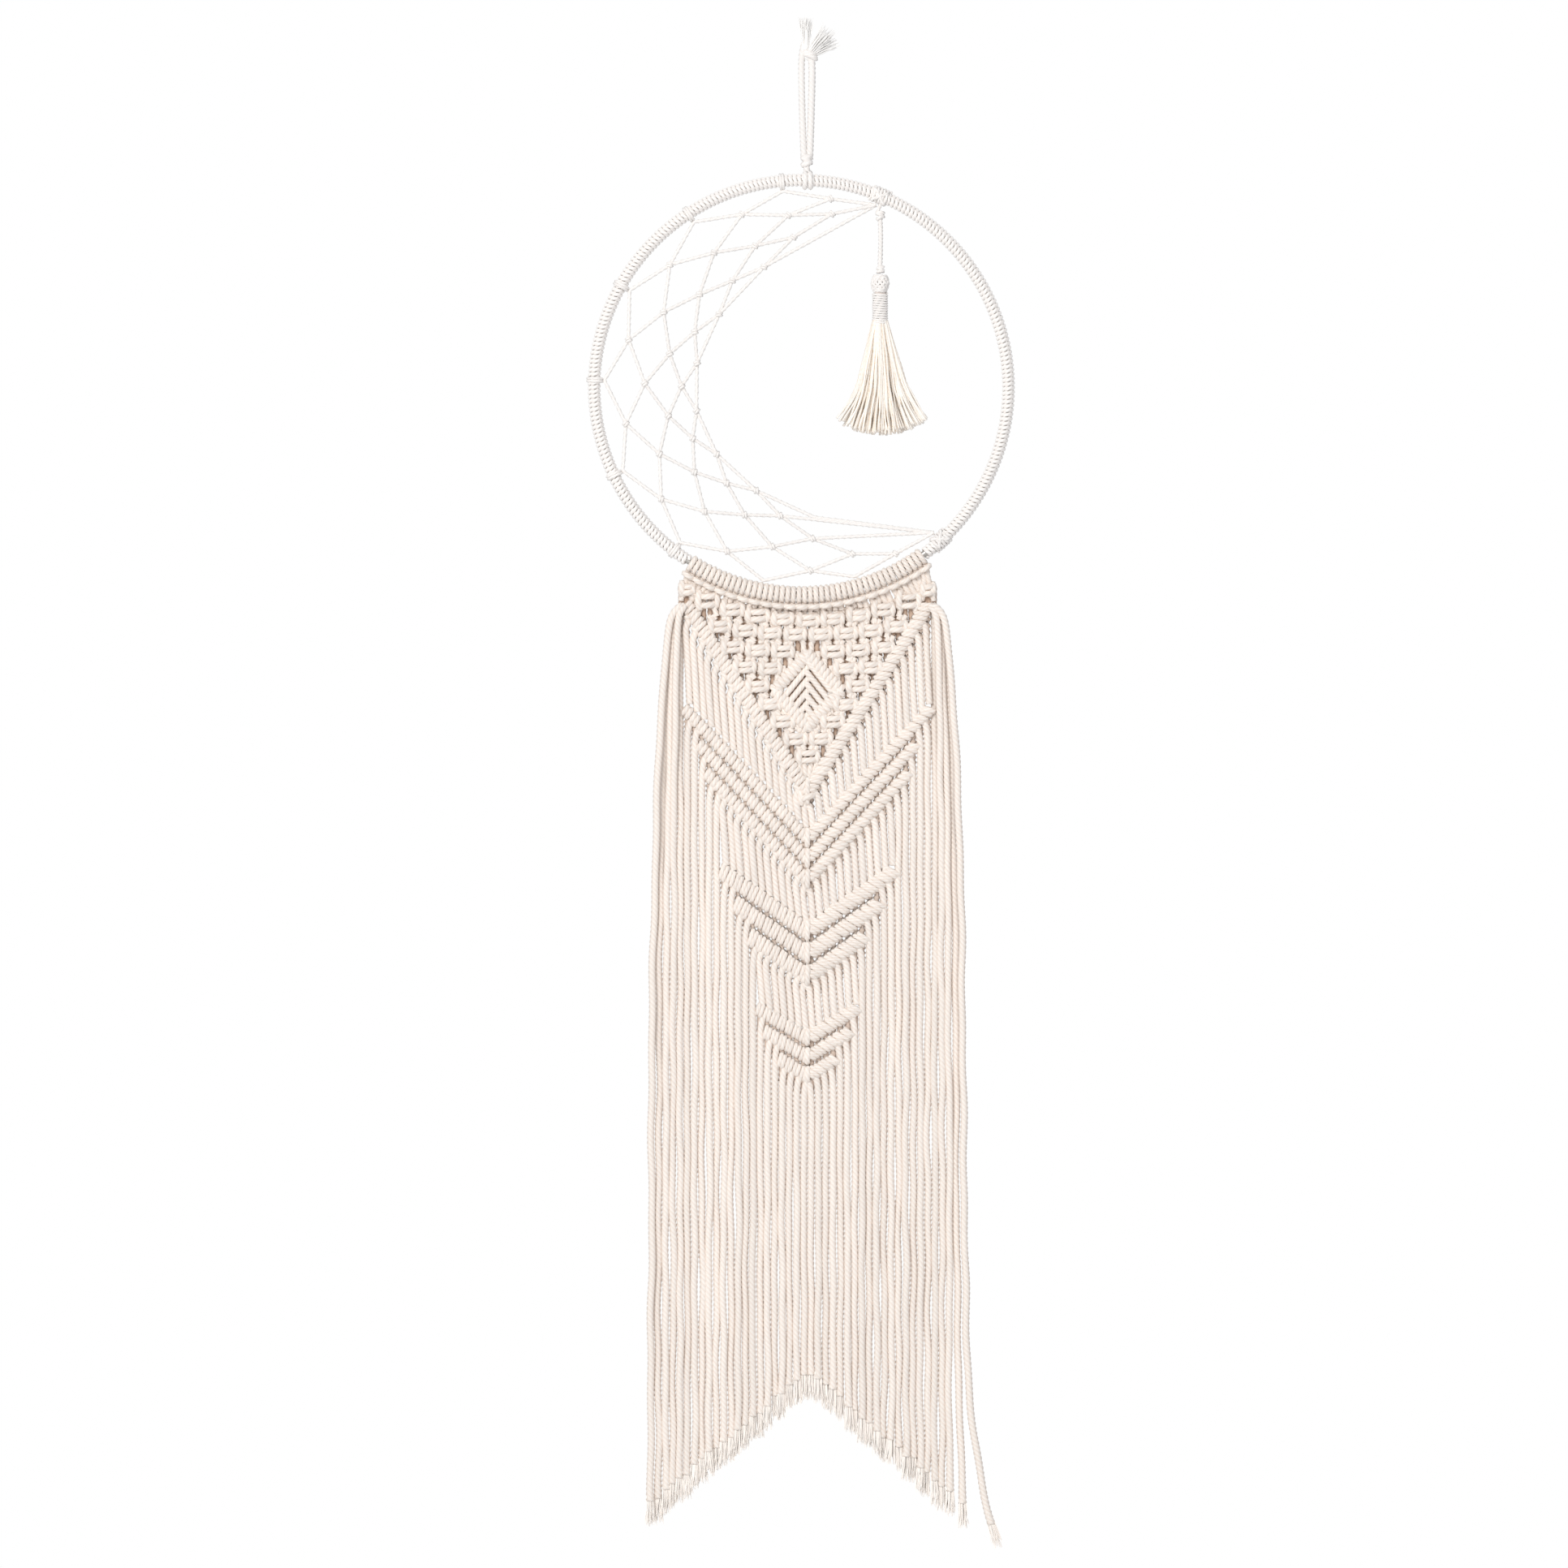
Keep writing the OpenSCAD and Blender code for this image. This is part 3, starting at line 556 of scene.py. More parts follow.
def knot_places(row):
    """Middles of a row's knots: evenly spread about the middle line, raised at the ends by the
    bend times the square of their place across, and left out where the diamond is."""
    count = ROWS + 1 - row
    x = (np.arange(count) - (count - 1) / 2) * KNOT_PITCH
    flat = FIRST_ROW_Z - (row - 1) * ROW_PITCH
    keep = (np.abs(x) / (DIAMOND_W + FRAME_D) + abs(flat - DIAMOND_Z) / (DIAMOND_H + FRAME_D)) >= 1
    z = flat + ROW_BEND * max(0.0, 1 - (row - 1) / 5) * (x / V_HALF_WIDTH) ** 2
    return x[keep], z[keep]


def square_knots(x, z, wide=1.0, tall=1.0, above=True):
    """Square knots at the given places. Each face has a loop down the left, bulging by cos,
    and two bars that cross to the right and turn back at the end, with the strands that come
    in from above and go out below. Each cord gets painted shade on the flanks that face its
    neighbours. Floats hang straight down behind the holes, with painted shade on their fronts
    as well, which makes the holes look shadowed."""
    n = len(x)
    t = np.linspace(-1, 1, 12)
    u = (t + 1) / 2
    bulge = np.cos(np.pi / 2 * t)
    parts = []

    def lay(dx, dy, dz, radius, deep=0.0, loose=0.3, side=(0.1, 1.0, 0.05), press=(0, 0, 1.0)):
        """Adds one cord to every knot, along its middle plus dx, dy and dz, each knot's cord
        moved by up to loose at random."""
        jitter = draw.uniform(-loose, loose, (n, 3, 1))
        grown = np.asarray(tall, float).reshape(-1, 1) * dz
        shape = np.stack([x[:, None] + wide * dx + jitter[:, 0], dy + 0 * x[:, None] + 0.5 * jitter[:, 1],
                          z[:, None] + grown + jitter[:, 2]], -1)
        parts.append(cord(shape, radius * draw.uniform(0.95, 1.07, (n, 1)), side=side, press=press,
                          phase=draw.uniform(0, 6, n), deep=deep, groove=0.2))

    for way in (1, -1):
        lay(way * (-3.4 - 0.75 * bulge), way * (0.4 - 2.1 * bulge), 3.0 * t, 1.85, press=(1, 0, 0))
        for up in (1, -1):
            lay(way * (0.55 + 3.75 * t), way * (0.3 - 2.3 * bulge), up * 1.38 + 0.35 * t - 0.3 * bulge,
                1.62, side=(0.3, 0.2, 0.9))
        lay(way * (4.3 + 0.5 * bulge), way * (0.3 - 1.3 * bulge), 2.3 * t, 1.6, press=(1, 0, 0))
        lay(way * 1.6 + 0 * t, 2.7 + 0 * t, -4.5 + 7.0 * t, 1.6, deep=0.8, loose=0.1)
        lay(way * 4.6 + 0 * t, 2.7 + 0 * t, -4.5 + 6.0 * t, 1.6, deep=0.8, loose=0.1)
        lay(way * (3.3 + 1.3 * u), 0.4 + 0 * t, -2.6 - 2.9 * u, 1.45, press=(1, 0, 0))
        if above:
            lay(way * (1.5 + 1.5 * u), 0.1 + 0 * t, 2.7 + 2.5 * u, 1.45, press=(1, 0, 0))
            lay(way * (3.4 + 1.5 * u), 0.3 + 0 * t, 2.6 + 2.6 * u, 1.45, press=(1, 0, 0))
    return parts


for row in range(1, 7):
    x, z = knot_places(row)
    if row == 1:
        rise = (x / V_HALF_WIDTH) ** 2
        parts = square_knots(x, z - 1.6 + 4.5 * rise, tall=0.92 + 0.7 * rise, above=False)
        edge = np.array([-56.3, 56.3])
        parts += square_knots(edge, 0 * edge - 246.3, wide=0.6, above=False)
        # Short strands behind the first row close the gap up to the lark's heads.
        s = np.linspace(0, 1, 8)
        top = (x[:, None] + np.array([-4.5, -1.5, 1.5, 4.5])).reshape(-1, 1)
        lift = np.repeat(6.0 + 2.5 * rise, 4)[:, None]
        parts.append(cord(np.stack([top + 0 * s, 1.6 + 0 * top * s,
                                    np.repeat(z, 4)[:, None] - 2.0 + lift * s], -1), 1.6))
    else:
        parts = square_knots(x, z)
    rider(f"square_knots_{row}", parts, CREAM, "panel", f"net_row_{row}")
t = np.linspace(0, 1, 10)
foot = np.array([-4.4, -1.5, 1.5, 4.4])[:, None]
last = np.stack([foot * (1 - 0.5 * t), 0.4 + 0 * foot * t,
                 knot_places(ROWS)[1] - 3.0 - 8.5 * t + 0 * foot], -1)
# The tip's strands get painted shade on their flanks.
rider("square_knots_tip", [p for row in (7, 8, 9) for p in square_knots(*knot_places(row))]
      + [cord(last, 1.5, press=(1, 0, 0))], CREAM, "panel", "net_tip")

# The knot at the V's point, where the two arms' carriers are tied across each other.
t = np.linspace(-1, 1, 14)
tip_z = V_RIDGE[0] - 2.4
bulge = np.cos(np.pi / 2 * t)
# Painted shade on the crossing cords' flanks.
crossing = [cord(np.stack([way * 3.2 * t, 0.2 - 0.5 * way - 2.6 * bulge, tip_z + 1.2 * way * t], 1)[None],
                 1.65, side=(0.3, 0.2, 0.9), press=(0, 0, 1)) for way in (-1, 1)]
crossing.append(cord(np.stack([-2.6 - 0.6 * bulge, -1.5 * bulge, tip_z + 3.4 * t], 1)[None],
                     1.6, press=(1, 0, 0)))
rider("v_tip_crossing", crossing, CREAM, "panel", "v_tip_knot")

# ---- Diamond -----------------------------------------------------------------------------
# Four ridges of half hitches round a field of strands that cross at the middle line, so that
# they lie in a stack of arrow heads pointing up, with slits between them through which cords
# behind show, with painted shade on their fronts.


def frame_side(sx, sz):
    """The turns on one side of the diamond, evenly spaced along the straight line between two
    corners and a little tilted, round a carrier of their own, with the strands that lead to it.
    The carrier has painted shade on its front, and the turns and strands on their flanks."""
    count = 10
    share = np.linspace(0.015, 0.985, count)
    middle = np.stack([sx * DIAMOND_W * (1 - share), 0 * share - 0.2,
                       DIAMOND_Z + sz * DIAMOND_H * share], 1)
    base = np.arctan2(sz * DIAMOND_H, -sx * DIAMOND_W)
    tilt = base + np.radians(90.0 + 14.0 * sx * sz) + draw.uniform(-0.1, 0.1, count)
    out = np.stack([np.cos(tilt), 0 * tilt, np.sin(tilt)], 1)
    share = np.linspace(0, 1, 20)[:, None]
    s = np.linspace(0, 1, 8)
    x = np.arange(0.12, 1, 0.2)[:, None] * DIAMOND_W
    feed = np.stack([sx * x + 0 * s, 0.5 + 0 * x * s,
                     DIAMOND_Z + sz * (DIAMOND_H * (1 - x / DIAMOND_W) + 7.0 * s)], -1)
    return [turns_round(middle, out, FRAME_D / 2 - 0.85, FRAME_D / 2 - 1.3, 1.6),
            cord((middle[0] * (1 - share) + middle[-1] * share)[None], FRAME_D / 2 - 1.2, deep=0.4),
            cord(feed, 1.45, press=(1, 0, 0))]


for sx, sz, name in ((-1, 1, "upper_left"), (1, 1, "upper_right"),
                     (-1, -1, "lower_left"), (1, -1, "lower_right")):
    rider(f"diamond_hitches_{name}", frame_side(sx, sz), CREAM, "panel", f"diamond_{name}")

ARROW_SLOPE = 1.25
ARROW_PITCH = 5.5
arrows = []
t = np.linspace(0, 1, 14)
# Painted shade on the arrows' flanks, where they lie against each other.
for k in range(5):
    for side, apex in ((1, DIAMOND_Z + 13.6 - ARROW_PITCH * k), (-1, DIAMOND_Z + 10.8 - ARROW_PITCH * k)):
        low_x = (apex - DIAMOND_Z + DIAMOND_H - 3.0) / (ARROW_SLOPE + DIAMOND_H / DIAMOND_W)
        x = -0.9 + (min(12.2, low_x) + 0.9) * t
        arrow = np.stack([side * x, -0.7 - 0.5 * side * np.exp(-(x / 1.5) ** 2),
                          apex - ARROW_SLOPE * x], 1)
        arrows.append(cord(arrow[None], 1.6, press=(0.62 * side, 0, 0.78),
                           tone=[draw.uniform(0.4, 1)], groove=0.18))
# Cords behind the slits, with painted shade on their fronts.
behind = np.stack([np.linspace(-8, 8, 7)[:, None] + 0 * t, 1.9 + np.zeros((7, 14)),
                   DIAMOND_Z + (2 * t - 1) * (12.5 - 0.9 * np.abs(np.linspace(-8, 8, 7)))[:, None]], -1)
arrows.append(cord(behind, 1.5, deep=0.95))
rider("diamond_arrows", arrows, CREAM, "panel", "diamond_weave")

# ---- Hoop --------------------------------------------------------------------------------
# A 3 mm steel wire ring wound edge to edge with thin two-ply cotton cord, except along the
# lower arc that carries the panel. The wire shows nowhere, but it is there under the winding.

HOOP_X = -3.0
HOOP_Z = -151.6
RING_R = 97.0
HEADS = 22
HEAD_STEP = np.degrees(5.27 / RING_R)
HEAD_MIDDLE = 180.0 + np.degrees(np.arcsin(3.0 / RING_R))
BARE_HALF = HEADS / 2 * HEAD_STEP + HEAD_STEP / 5


def on_hoop(angle, out, depth, along=0.0):
    """A point by the hoop's wire: at that angle from the top round to the left, out from the
    wire's middle line by out, away from the camera by depth, and on along the wire by along."""
    turn = np.radians(angle)
    x = HOOP_X - np.sin(turn) * (RING_R + out) - np.cos(turn) * along
    z = HOOP_Z + np.cos(turn) * (RING_R + out) - np.sin(turn) * along
    return np.stack(np.broadcast_arrays(x, depth, z), -1)


def winding(start, end, pitch, radius, turn_r, steps=24, **kind):
    """A cord wound round the hoop from one angle to another: a helix of turn_r round the wire
    that goes on by one pitch in each turn."""
    turns = np.radians(abs(end - start)) * RING_R / pitch
    share = np.linspace(0, 1, int(turns * steps))
    spin = share * turns * 2 * np.pi
    path = on_hoop(start + (end - start) * share, turn_r * np.cos(spin), turn_r * np.sin(spin))
    tangent = np.gradient(path, axis=0)
    ring_way = np.gradient(on_hoop(start + (end - start) * share, 0 * spin, 0 * spin), axis=0)
    return cord(path[None], radius, side=unit(ring_way + 0 * tangent)[None], **kind)


steel = bpy.data.materials.new("drawn_steel")
steel.use_nodes = True
nodes, links = steel.node_tree.nodes, steel.node_tree.links
shader = nodes["Principled BSDF"]
scratch = node("ShaderNodeTexNoise", {}, {"Vector": node("ShaderNodeTexCoord").outputs["Object"],
                                          "Scale": 900.0, "Detail": 3.0}).outputs["Fac"]
dull = node("ShaderNodeMapRange", {}, {"Value": scratch, "To Min": 0.25, "To Max": 0.5}).outputs[0]
links.new(dull, shader.inputs["Roughness"])
shader.inputs["Base Color"].default_value = (0.55, 0.53, 0.50, 1)
shader.inputs["Metallic"].default_value = 1.0
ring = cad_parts["hoop_ring"]
ring.data.materials.clear()
ring.data.materials.append(steel)

rider("hoop_winding",
      [winding(HEAD_MIDDLE + BARE_HALF - 360, HEAD_MIDDLE - BARE_HALF, 2.05, 1.14, 2.05,
               plies=2, lay=5.2, groove=0.3)],
      WHITE, "hoop", "hoop_wrap")

# ---- Lark's heads ------------------------------------------------------------------------
# Twenty-two panel cords are folded in half over the wire: two turns over it, side by side, and
# the fold lying across them underneath. The two halves hang on into the first row of knots,
# across the place where the panel sways on the hoop.

head_angle = HEAD_MIDDLE + (np.arange(HEADS) - (HEADS - 1) / 2) * HEAD_STEP
turn_angle = (head_angle[:, None] + np.array([-0.245, 0.245]) * HEAD_STEP).ravel()
round_it = round_angles(18)
turns = on_hoop(turn_angle[:, None], 0.3 + 3.1 * np.cos(round_it), 2.85 * np.sin(round_it))
wire_way = on_hoop(turn_angle, 0.0, 0.0, 1.0) - on_hoop(turn_angle, 0.0, 0.0)
# Painted shade on the turns' flanks where they lie against each other, and on the folds' flanks.
head_turns = cord(turns, 1.36 * draw.uniform(0.95, 1.05, (len(turn_angle), 1)), side=wire_way[:, None],
                  closed=True, phase=draw.uniform(0, 6, len(turn_angle)), groove=0.2,
                  press=wire_way[:, None, None], flank_shade=0.3)
t = np.linspace(-1, 1, 14)
fold = on_hoop(head_angle[:, None], 5.7 + 0.4 * np.cos(np.pi * t / 2),
               -1.0 - 2.2 * np.cos(np.pi * t / 2), 2.45 * t)
outward = on_hoop(head_angle, 1.0, 0.0) - on_hoop(head_angle, 0.0, 0.0)
folds = cord(fold, 1.45 * draw.uniform(0.95, 1.05, (HEADS, 1)), side=outward[:, None], groove=0.2,
             phase=draw.uniform(0, 6, HEADS), press=outward[:, None, None])
rider("larks_head_turns", [head_turns, folds], CREAM, "hoop", "larks_heads")

x1, z1 = knot_places(1)
targets = np.concatenate([np.stack([x + d, z + 2.6 + 0 * d], 1)
                          for x, z in zip(x1, z1) for d in [np.array([-4.2, -1.5, 1.5, 4.2])]])
tops = on_hoop(turn_angle, 3.6, 0.2)
spare = (len(tops) - len(targets)) // 2
left = np.stack([-V_HALF_WIDTH + np.linspace(-1.0, 3.4, spare),
                 V_END_Z + np.linspace(3.5, 3.0, spare)], 1)
right = left[::-1] * (-1, 1)
aims = np.concatenate([left, targets, right])
tops = tops[np.argsort(tops[:, 0])]
s = np.linspace(0, 1, 12)[None, :, None]
feet = np.stack([aims[:, 0], 0.6 + 0 * aims[:, 0], aims[:, 1]], 1)[:, None]
down = tops[:, None] * (1 - s) + feet * s
# Painted shade on the strands' flanks, and a little on their fronts.
hangers = build("head_strands", [cord(down, 1.5, side=(0.1, 1.0, 0.0), press=(1, 0, 0), deep=0.15,
                                      phase=draw.uniform(0, 6, len(down)))],
                *CREAM)
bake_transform(hangers)

# ---- Moon web ----------------------------------------------------------------------------
# The crescent is netted from thin twisted string: a row of hitches round the hoop's left side,
# then rows that are each knotted to the middle of the one before, and an edge string that
# draws the last row into a curve between the two windings on the hoop.

STRING_R = 0.95
SPANS = 9
WEB_START = 22.4
WEB_STEP = 27.2
WEB_SLIP = 1.6
WEB_R = RING_R - 1.5 - 2.4 - 0.75 - 0.15
SHARES = (0.0, 0.2, 0.45, 0.68, 0.86, 1.0)
EDGE_HANDLES = np.array(((-96.0, 35.0), (-67.0, -70.0)))


def web_angle(s):
    """Angle from the top to the left of step s of the spans: even steps from the upper anchor,
    and a slip that is greatest half way round."""
    s = np.asarray(s, float)
    return s * WEB_STEP - WEB_START + WEB_SLIP * np.sin(np.pi * s / SPANS)


def hoop_at(u):
    """A point of the circle that the first row starts from, at share u of the spans."""
    a = np.radians(web_angle(np.asarray(u, float) * SPANS))
    return WEB_R * np.stack([-np.sin(a), np.cos(a)], -1)


def inner_at(u):
    """The crescent's inner edge: a cubic curve between the anchors, drawn by two handles."""
    u = np.asarray(u, float)[..., None]
    w = 1 - u
    return (w ** 3 * hoop_at(0) + 3 * w * w * u * EDGE_HANDLES[0]
            + 3 * w * u * u * EDGE_HANDLES[1] + u ** 3 * hoop_at(1))


def web_node(row, s):
    """Where row and step s meet: a share of the way from the hoop to the inner edge."""
    u = np.asarray(s, float) / SPANS
    flat = (1 - SHARES[row]) * hoop_at(u) + SHARES[row] * inner_at(u)
    return np.stack([flat[..., 0] + HOOP_X, 0 * flat[..., 0], flat[..., 1] + HOOP_Z], -1)


def through(points, step=0.7):
    """A line through the points with a ring every step, by straight stretches."""
    gone = np.concatenate([[0], np.cumsum(np.linalg.norm(np.diff(points, axis=0), axis=1))])
    at = np.linspace(0, gone[-1], int(gone[-1] / step))
    return np.stack([np.interp(at, gone, points[:, k]) for k in range(3)], 1)


def hitch_loops(at, ways, radius, reach, depth):
    """Small closed loops at the knots: each goes round the strings there, out by reach across
    them and by depth from back to front."""
    angle = round_angles(12)
    across = unit(np.cross(ways, FRONT_TO_BACK))
    loops = (at[:, None] + across[:, None] * (reach * np.cos(angle))[None, :, None]
             + FRONT_TO_BACK * (depth * np.sin(angle))[None, :, None])
    return cord(loops, radius, side=ways[:, None], closed=True, plies=2, lay=6.0, sides=6)


web_parts, string_kind = [], {"plies": 2, "lay": 6.0, "groove": 0.3, "sides": 6}
for row, first, last in ((1, 0, SPANS), (2, 0.5, SPANS - 0.5), (3, 0, SPANS - 1),
                         (4, 0.5, SPANS - 1.5), (5, 1, SPANS - 2)):
    k = np.arange(2 * (last - first) + 1)
    steps = first + k / 2
    points = np.where((k % 2 == 0)[:, None], web_node(row - 1, steps), web_node(row, steps))
    points[:, 1] = np.where(k % 2 == 0, -0.35, 0.25) + 0.1 * row
    web_parts.append(cord(through(points)[None], STRING_R, **string_kind))
    low_nodes = web_node(row, steps[k % 2 == 1])
    ways = unit(np.nan_to_num(web_node(row, steps[k % 2 == 1] + 0.05) - low_nodes) + (1e-9, 0, 1e-9))
    tilt = unit(ways + 0.6 * np.cross(ways, FRONT_TO_BACK))
    for drift in (-0.55, 0.55):
        web_parts.append(hitch_loops(low_nodes + drift * tilt, tilt, 0.66, 1.2, 1.3))
edge_steps = np.concatenate([[0.0], np.arange(1.5, SPANS - 1), [SPANS]])
edge = web_node(5, edge_steps)
edge[:, 1] = 0.6
web_parts.append(cord(through(edge)[None], STRING_R, **string_kind))
# Two more strings leave the rows early and run straight to the lower winding.
for row, s in ((3, 7.5), (4, 7.0)):
    ends = np.stack([web_node(row, s), web_node(5, SPANS)])
    ends[:, 1] = 0.3 * row - 0.9
    web_parts.append(cord(through(ends)[None], STRING_R, **string_kind))
finely = round_angles(30)
for k in range(1, SPANS):
    angle = web_angle(k)
    if abs(angle - HEAD_MIDDLE) > BARE_HALF + HEAD_STEP / 2:
        for drift in (-0.6, 0.6):
            at = angle + np.degrees(drift / RING_R)
            loop = on_hoop(at, -0.35 + 3.3 * np.cos(finely), 3.3 * np.sin(finely))
            way = on_hoop(at, 0.0, 0.0, 1.0) - on_hoop(at, 0.0, 0.0)
            web_parts.append(cord(loop[None], 0.75, side=way[None, None], closed=True,
                                  plies=2, lay=6.0, sides=6))
rider("moon_web", web_parts, WHITE, "hoop", "web_row_1", "web_row_2", "web_row_3", "web_row_4",
      "web_row_5", "web_edge", "web_hitches")

for name, angle in (("top", -WEB_START), ("bottom", SPANS * WEB_STEP - WEB_START)):
    half = np.degrees(4.2 / RING_R)
    coil = winding(angle - half, angle + half, 1.5, 0.85, 3.35, plies=2, lay=6.5, groove=0.3)
    cross = []
    for way in (-1, 1):
        t = np.linspace(-1, 1, 16)
        path = on_hoop(angle, -0.6 - 2.9 * t * way, -4.0 + 1.4 * np.abs(t) ** 2, 3.2 * t)
        cross.append(cord(path[None], 0.85, plies=2, lay=6.5, groove=0.3, side=(0, 1, 0)))
    rider(f"web_winding_{name}", [coil] + cross, WHITE, "hoop", f"web_anchor_{name}")

# ---- Tassel ------------------------------------------------------------------------------
# A small cotton tassel on a thin cord: a woven knob, a collar of twelve tight turns and a
# skirt of loose two-ply strings that spreads to a ragged hem. Its cord is tied at the web's
# upper winding and to the knob, and swings at both knots.

TASSEL_X = 33.964
TASSEL_TOP_Z = -71.0
LINK_Z = -96.519
HEAD_TOP = LINK_Z - 2.3
COLLAR_TOP = HEAD_TOP - 8.6
SKIRT_TOP = COLLAR_TOP - 14.4
COLLAR_TURNS = 12
SKIRT_LENGTH = 53.0
SKIRT_DEPTH = 6.0

# The straw cotton's second colour is painted shade, for the ply grooves and the skirt strings' flanks.
straw_cotton = cotton_finish("straw_cotton", (1.0, 0.960, 0.910), (0.90, 0.68, 0.45),
                             0.08, 1.4, 0.16, 0.1)
STRAW = (straw_cotton, "tassel_string")


def tied(middle, width, height, radius, turns, spin=0.0, lift=0.5, **kind):
    """A tied knot: turns of cord round a squat core, spread over its height. Turn k is tilted
    about the depth direction by lift * cos(2.1 k + spin), and turns away from the middle are
    smaller by 1.2 times the square of their share of the height."""
    middle = np.asarray(middle, float)
    angle = round_angles(18)
    loops, normals = [], []
    for k in range(turns):
        share = (k + 0.5) / turns - 0.5
        tilt = lift * np.cos(k * 2.1 + spin)
        out = np.array((np.cos(tilt), 0.0, np.sin(tilt)))
        centre = middle + (0, 0, share * height)
        fat = (width / 2 - radius) * (1 - 1.2 * share * share)
        loops.append(centre + out * (fat * np.cos(angle))[:, None]
                     + FRONT_TO_BACK * (fat * np.sin(angle))[:, None])
        normals.append(np.cross(out, FRONT_TO_BACK))
    return cord(np.array(loops), radius, side=np.array(normals)[:, None], closed=True, **kind)


def straight(points, radius, step=0.7, **kind):
    """One cord along a few points: between two of them a cubic, whose slope at each point is
    half of what lies between that point's neighbours."""
    points = np.asarray(points, float)
    n = len(points) - 1
    at = np.linspace(0, n, max(12, int(np.linalg.norm(np.diff(points, axis=0), axis=1).sum() / step)))
    low = np.minimum(at.astype(int), n - 1)
    share = (at - low)[:, None]
    before = points[np.maximum(low - 1, 0)]
    after = points[np.minimum(low + 2, n)]
    a, b = points[low], points[low + 1]
    path = 0.5 * (2 * a + (b - before) * share + (2 * before - 5 * a + 4 * b - after) * share ** 2
                  + (3 * a - before - 3 * b + after) * share ** 3)
    return cord(path[None], radius, **kind)


thin = {"plies": 2, "lay": 6.5, "groove": 0.3, "sides": 6}
up_line = ((TASSEL_X - 1, 0, TASSEL_TOP_Z + 1), (TASSEL_X - 0.4, -0.5, TASSEL_TOP_Z + 3.5),
           (TASSEL_X + 1, -0.5, TASSEL_TOP_Z + 7))
top_tie = build("tassel_tie", [tied((TASSEL_X, 0, TASSEL_TOP_Z), 5.4, 3.4, 0.95, 3, 0.4, 0.6, **thin),
                               straight(up_line, 0.95, **thin)], *WHITE)
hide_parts("tassel_top_knot")
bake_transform(top_tie)
down_line = ((TASSEL_X, 0, TASSEL_TOP_Z - 1), (TASSEL_X + 0.3, 0, -82), (TASSEL_X, 0, LINK_Z + 1))
drop_cord = build("tassel_drop", [straight(down_line, 1.25, plies=3, lay=5.5, groove=0.25, sides=6)],
                  *WHITE)
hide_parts("tassel_cord")
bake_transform(drop_cord)
rider("tassel_link", [tied((TASSEL_X + 0.2, 0, LINK_Z), 4.8, 2.4, 0.95, 3, 1.0, 0.7, **thin)],
      WHITE, "tassel", "tassel_link_knot")

angle = round_angles(30)
knob_middle = np.array((TASSEL_X, 0.0, HEAD_TOP - 4.3))
knob_loops, knob_normals = [], []
for k in range(10):
    spin, tip = np.pi * k / 10 + 0.15, np.radians(38.0 if k % 2 else -38.0)
    out = np.array((np.cos(spin), np.sin(spin), 0.0))
    up = np.array((-np.sin(spin) * np.sin(tip), np.cos(spin) * np.sin(tip), np.cos(tip)))
    fat = 3.75 + 0.28 * np.cos(4 * angle + k)
    knob_loops.append(knob_middle + out * (fat * 0.95 * np.cos(angle))[:, None]
                      + up * (fat * 1.15 * np.sin(angle))[:, None])
    knob_normals.append(np.cross(out, up))
rider("tassel_knob", [cord(np.array(knob_loops), 0.8, side=np.array(knob_normals)[:, None],
                           closed=True, **thin)], WHITE, "tassel", "tassel_head")

share = np.linspace(0, 1, COLLAR_TURNS * 28)
spin = share * COLLAR_TURNS * 2 * np.pi
collar_path = np.stack([TASSEL_X + 3.2 * np.cos(spin), 3.2 * np.sin(spin),
                        COLLAR_TOP - 0.2 - share * 14.0], 1)
# The core inside the collar carries painted shade on its front.
core = straight([(TASSEL_X, 0, COLLAR_TOP + 1), (TASSEL_X, 0, SKIRT_TOP)], 3.0, deep=0.6)
rider("tassel_collar_turns",
      [cord(collar_path[None], 0.68, side=(0, 0.02, 1), **thin), core], WHITE, "tassel", "tassel_collar")

STRINGS = 230
around = draw.uniform(0, 2 * np.pi, STRINGS)
out_share = np.sqrt(draw.uniform(0.02, 1, STRINGS))
s = np.linspace(0, 1, 40)
spread_x = np.cos(around) * out_share
spread_y = np.sin(around) * out_share
long = (SKIRT_LENGTH - 0.6) * (1 - 0.13 * spread_x ** 2) * draw.uniform(0.95, 1.0, STRINGS)
fall = 3.2 + 13.5 * s + 22.0 * np.maximum(0, s - 0.6) ** 1.5
fall_y = 3.0 + (SKIRT_DEPTH - 3.4) * s
sway = (0.6 * np.sin(s * draw.uniform(3, 7, (STRINGS, 1)) + draw.uniform(0, 6, (STRINGS, 1)))
        + 0.35 * np.sin(s * draw.uniform(9, 16, (STRINGS, 1)) + draw.uniform(0, 6, (STRINGS, 1)))) * s
skirt_paths = np.stack([TASSEL_X + 0.8 * s + spread_x[:, None] * fall + sway,
                        spread_y[:, None] * fall_y + 0.4 * sway,
                        SKIRT_TOP + 1.5 - (long[:, None] + 1.5) * s], -1)
skirt_thick = 0.62 * (1 - 0.15 * s) * draw.uniform(0.85, 1.15, (STRINGS, 1))
# Painted shade on the strings' flanks, where they lie against each other, strong here.
rider("tassel_strings", [cord(skirt_paths, skirt_thick, plies=2, lay=12.0, groove=0.12,
                              sides=5, press=(1, 0, 0), flank_shade=0.8,
                              phase=draw.uniform(0, 6, STRINGS))],
      STRAW, "tassel", "tassel_skirt")

# ---- Hanger ------------------------------------------------------------------------------
# One four-ply cord folded over the hoop's top: the fold is hitched round the winding, a small
# overhand knot sits above it, and the two halves run up to a top knot with combed-out ends.
# The piece hangs from a nail between the two halves, just under the top knot.

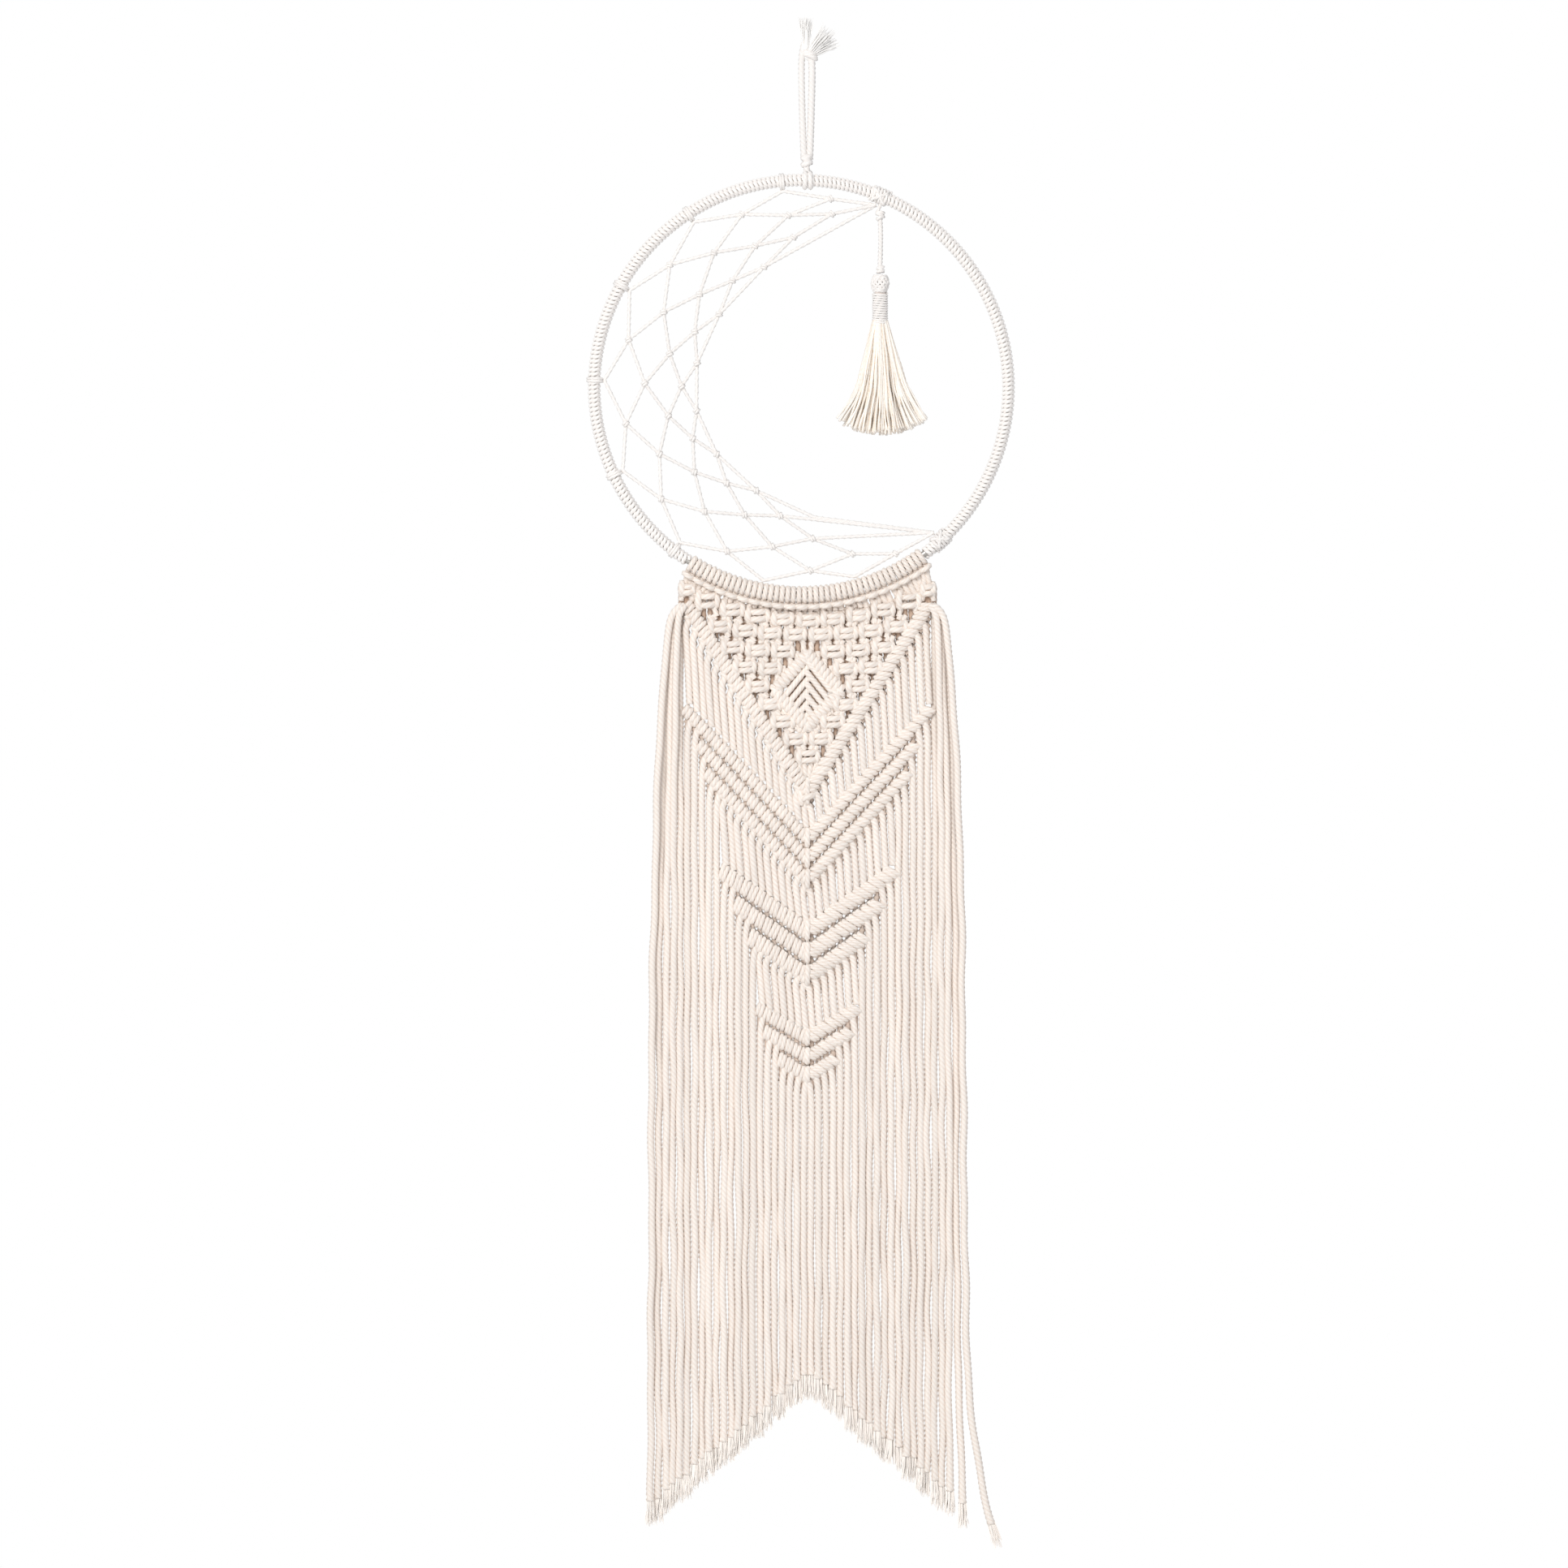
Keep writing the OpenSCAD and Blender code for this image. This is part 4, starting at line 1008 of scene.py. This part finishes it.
HITCH_Z = HOOP_Z + np.sqrt(RING_R ** 2 - 9.0)
HITCH_R = 3.45
KNOT_LOW, KNOT_TOP = -47.446, -42.946
SWING_Z = -48.396
hanger_kind = {"plies": 4, "lay": 8.5, "groove": 0.16}
legs = [straight([(-1.4, 0.3, 10.0), (-2.4, 0.1, 5.0), (-2.8, 0, 0.0), (-2.8, 0, -8), (-2.5, 0, -22),
                  (-2.1, 0, -34), (-1.6, 0, -45.0)], 1.65, **hanger_kind),
        straight([(1.2, 0.3, 4.0), (2.0, 0, 0.0), (2.1, 0, -8), (1.8, 0, -20), (1.4, 0, -34),
                  (1.0, 0, -45.0)], 1.75, **hanger_kind)]
hanger = build("hanger_legs", legs, *WHITE)
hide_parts("hanger_leg_left", "hanger_leg_right")
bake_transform(hanger)

tie_line = ((-1.4, 1.2, 4.0), (-1.2, -1.6, 4.4), (1.6, -2.3, 3.4), (3.6, -0.8, 2.2), (3.4, 1.6, 2.4),
            (0.5, 2.4, 3.6), (-1.6, 1.4, 5.0), (-1.0, -1.4, 5.4), (1.6, -1.9, 4.6), (3.4, -0.2, 3.8))
rider("top_tie", [straight(tie_line, 1.3, **hanger_kind)], WHITE, "hanger", "top_knot")

TAILS = (((-1.1, 0.2, 9.0), (0.04, 0.0, 1.0), 130, 12.8, 1.0, 1.8),
         ((1.4, -0.3, 5.2), (0.62, -0.1, 0.75), 90, 15.0, 1.7, 1.6),
         ((2.0, 0.2, 4.6), (0.85, 0.1, 0.5), 80, 14.0, 1.7, 1.5))
tails = [brush(np.array(foot), unit(np.array(way)), *rest) for foot, way, *rest in TAILS]
tail_brush = build("top_brushes", tails, combed_white, "white_cord", smooth=False)
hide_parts("top_tails")
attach(tail_brush, "hanger")

knot_middle = (-0.4, 0, (KNOT_LOW + KNOT_TOP) / 2 - 0.2)
rider("hanger_overhand",
      [tied(knot_middle, 6.8, 4.4, 1.45, 3, 0.9, 0.6, **hanger_kind)], WHITE, "hanger_knot", "lower_knot")

neck_line = ((-0.5, 0, KNOT_LOW + 2.0), (-0.4, 0, SWING_Z), (-0.3, 0, HITCH_Z + 3.0))
neck = build("hanger_neck", [straight(neck_line, 1.6, **hanger_kind)], *WHITE)
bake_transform(neck)

hitch_turns = []
for x, lean in ((-1.1, 0.15), (1.3, -0.1)):
    loop = np.stack([x + lean * np.cos(round_it), HITCH_R * np.sin(round_it),
                     HITCH_Z + HITCH_R * np.cos(round_it)], -1)
    hitch_turns.append(cord(loop[None], 1.3, side=(1.0, 0.0, 0.0), closed=True, **hanger_kind))
rider("hoop_hitch_turns", hitch_turns, WHITE, "hitch", "hoop_hitch")
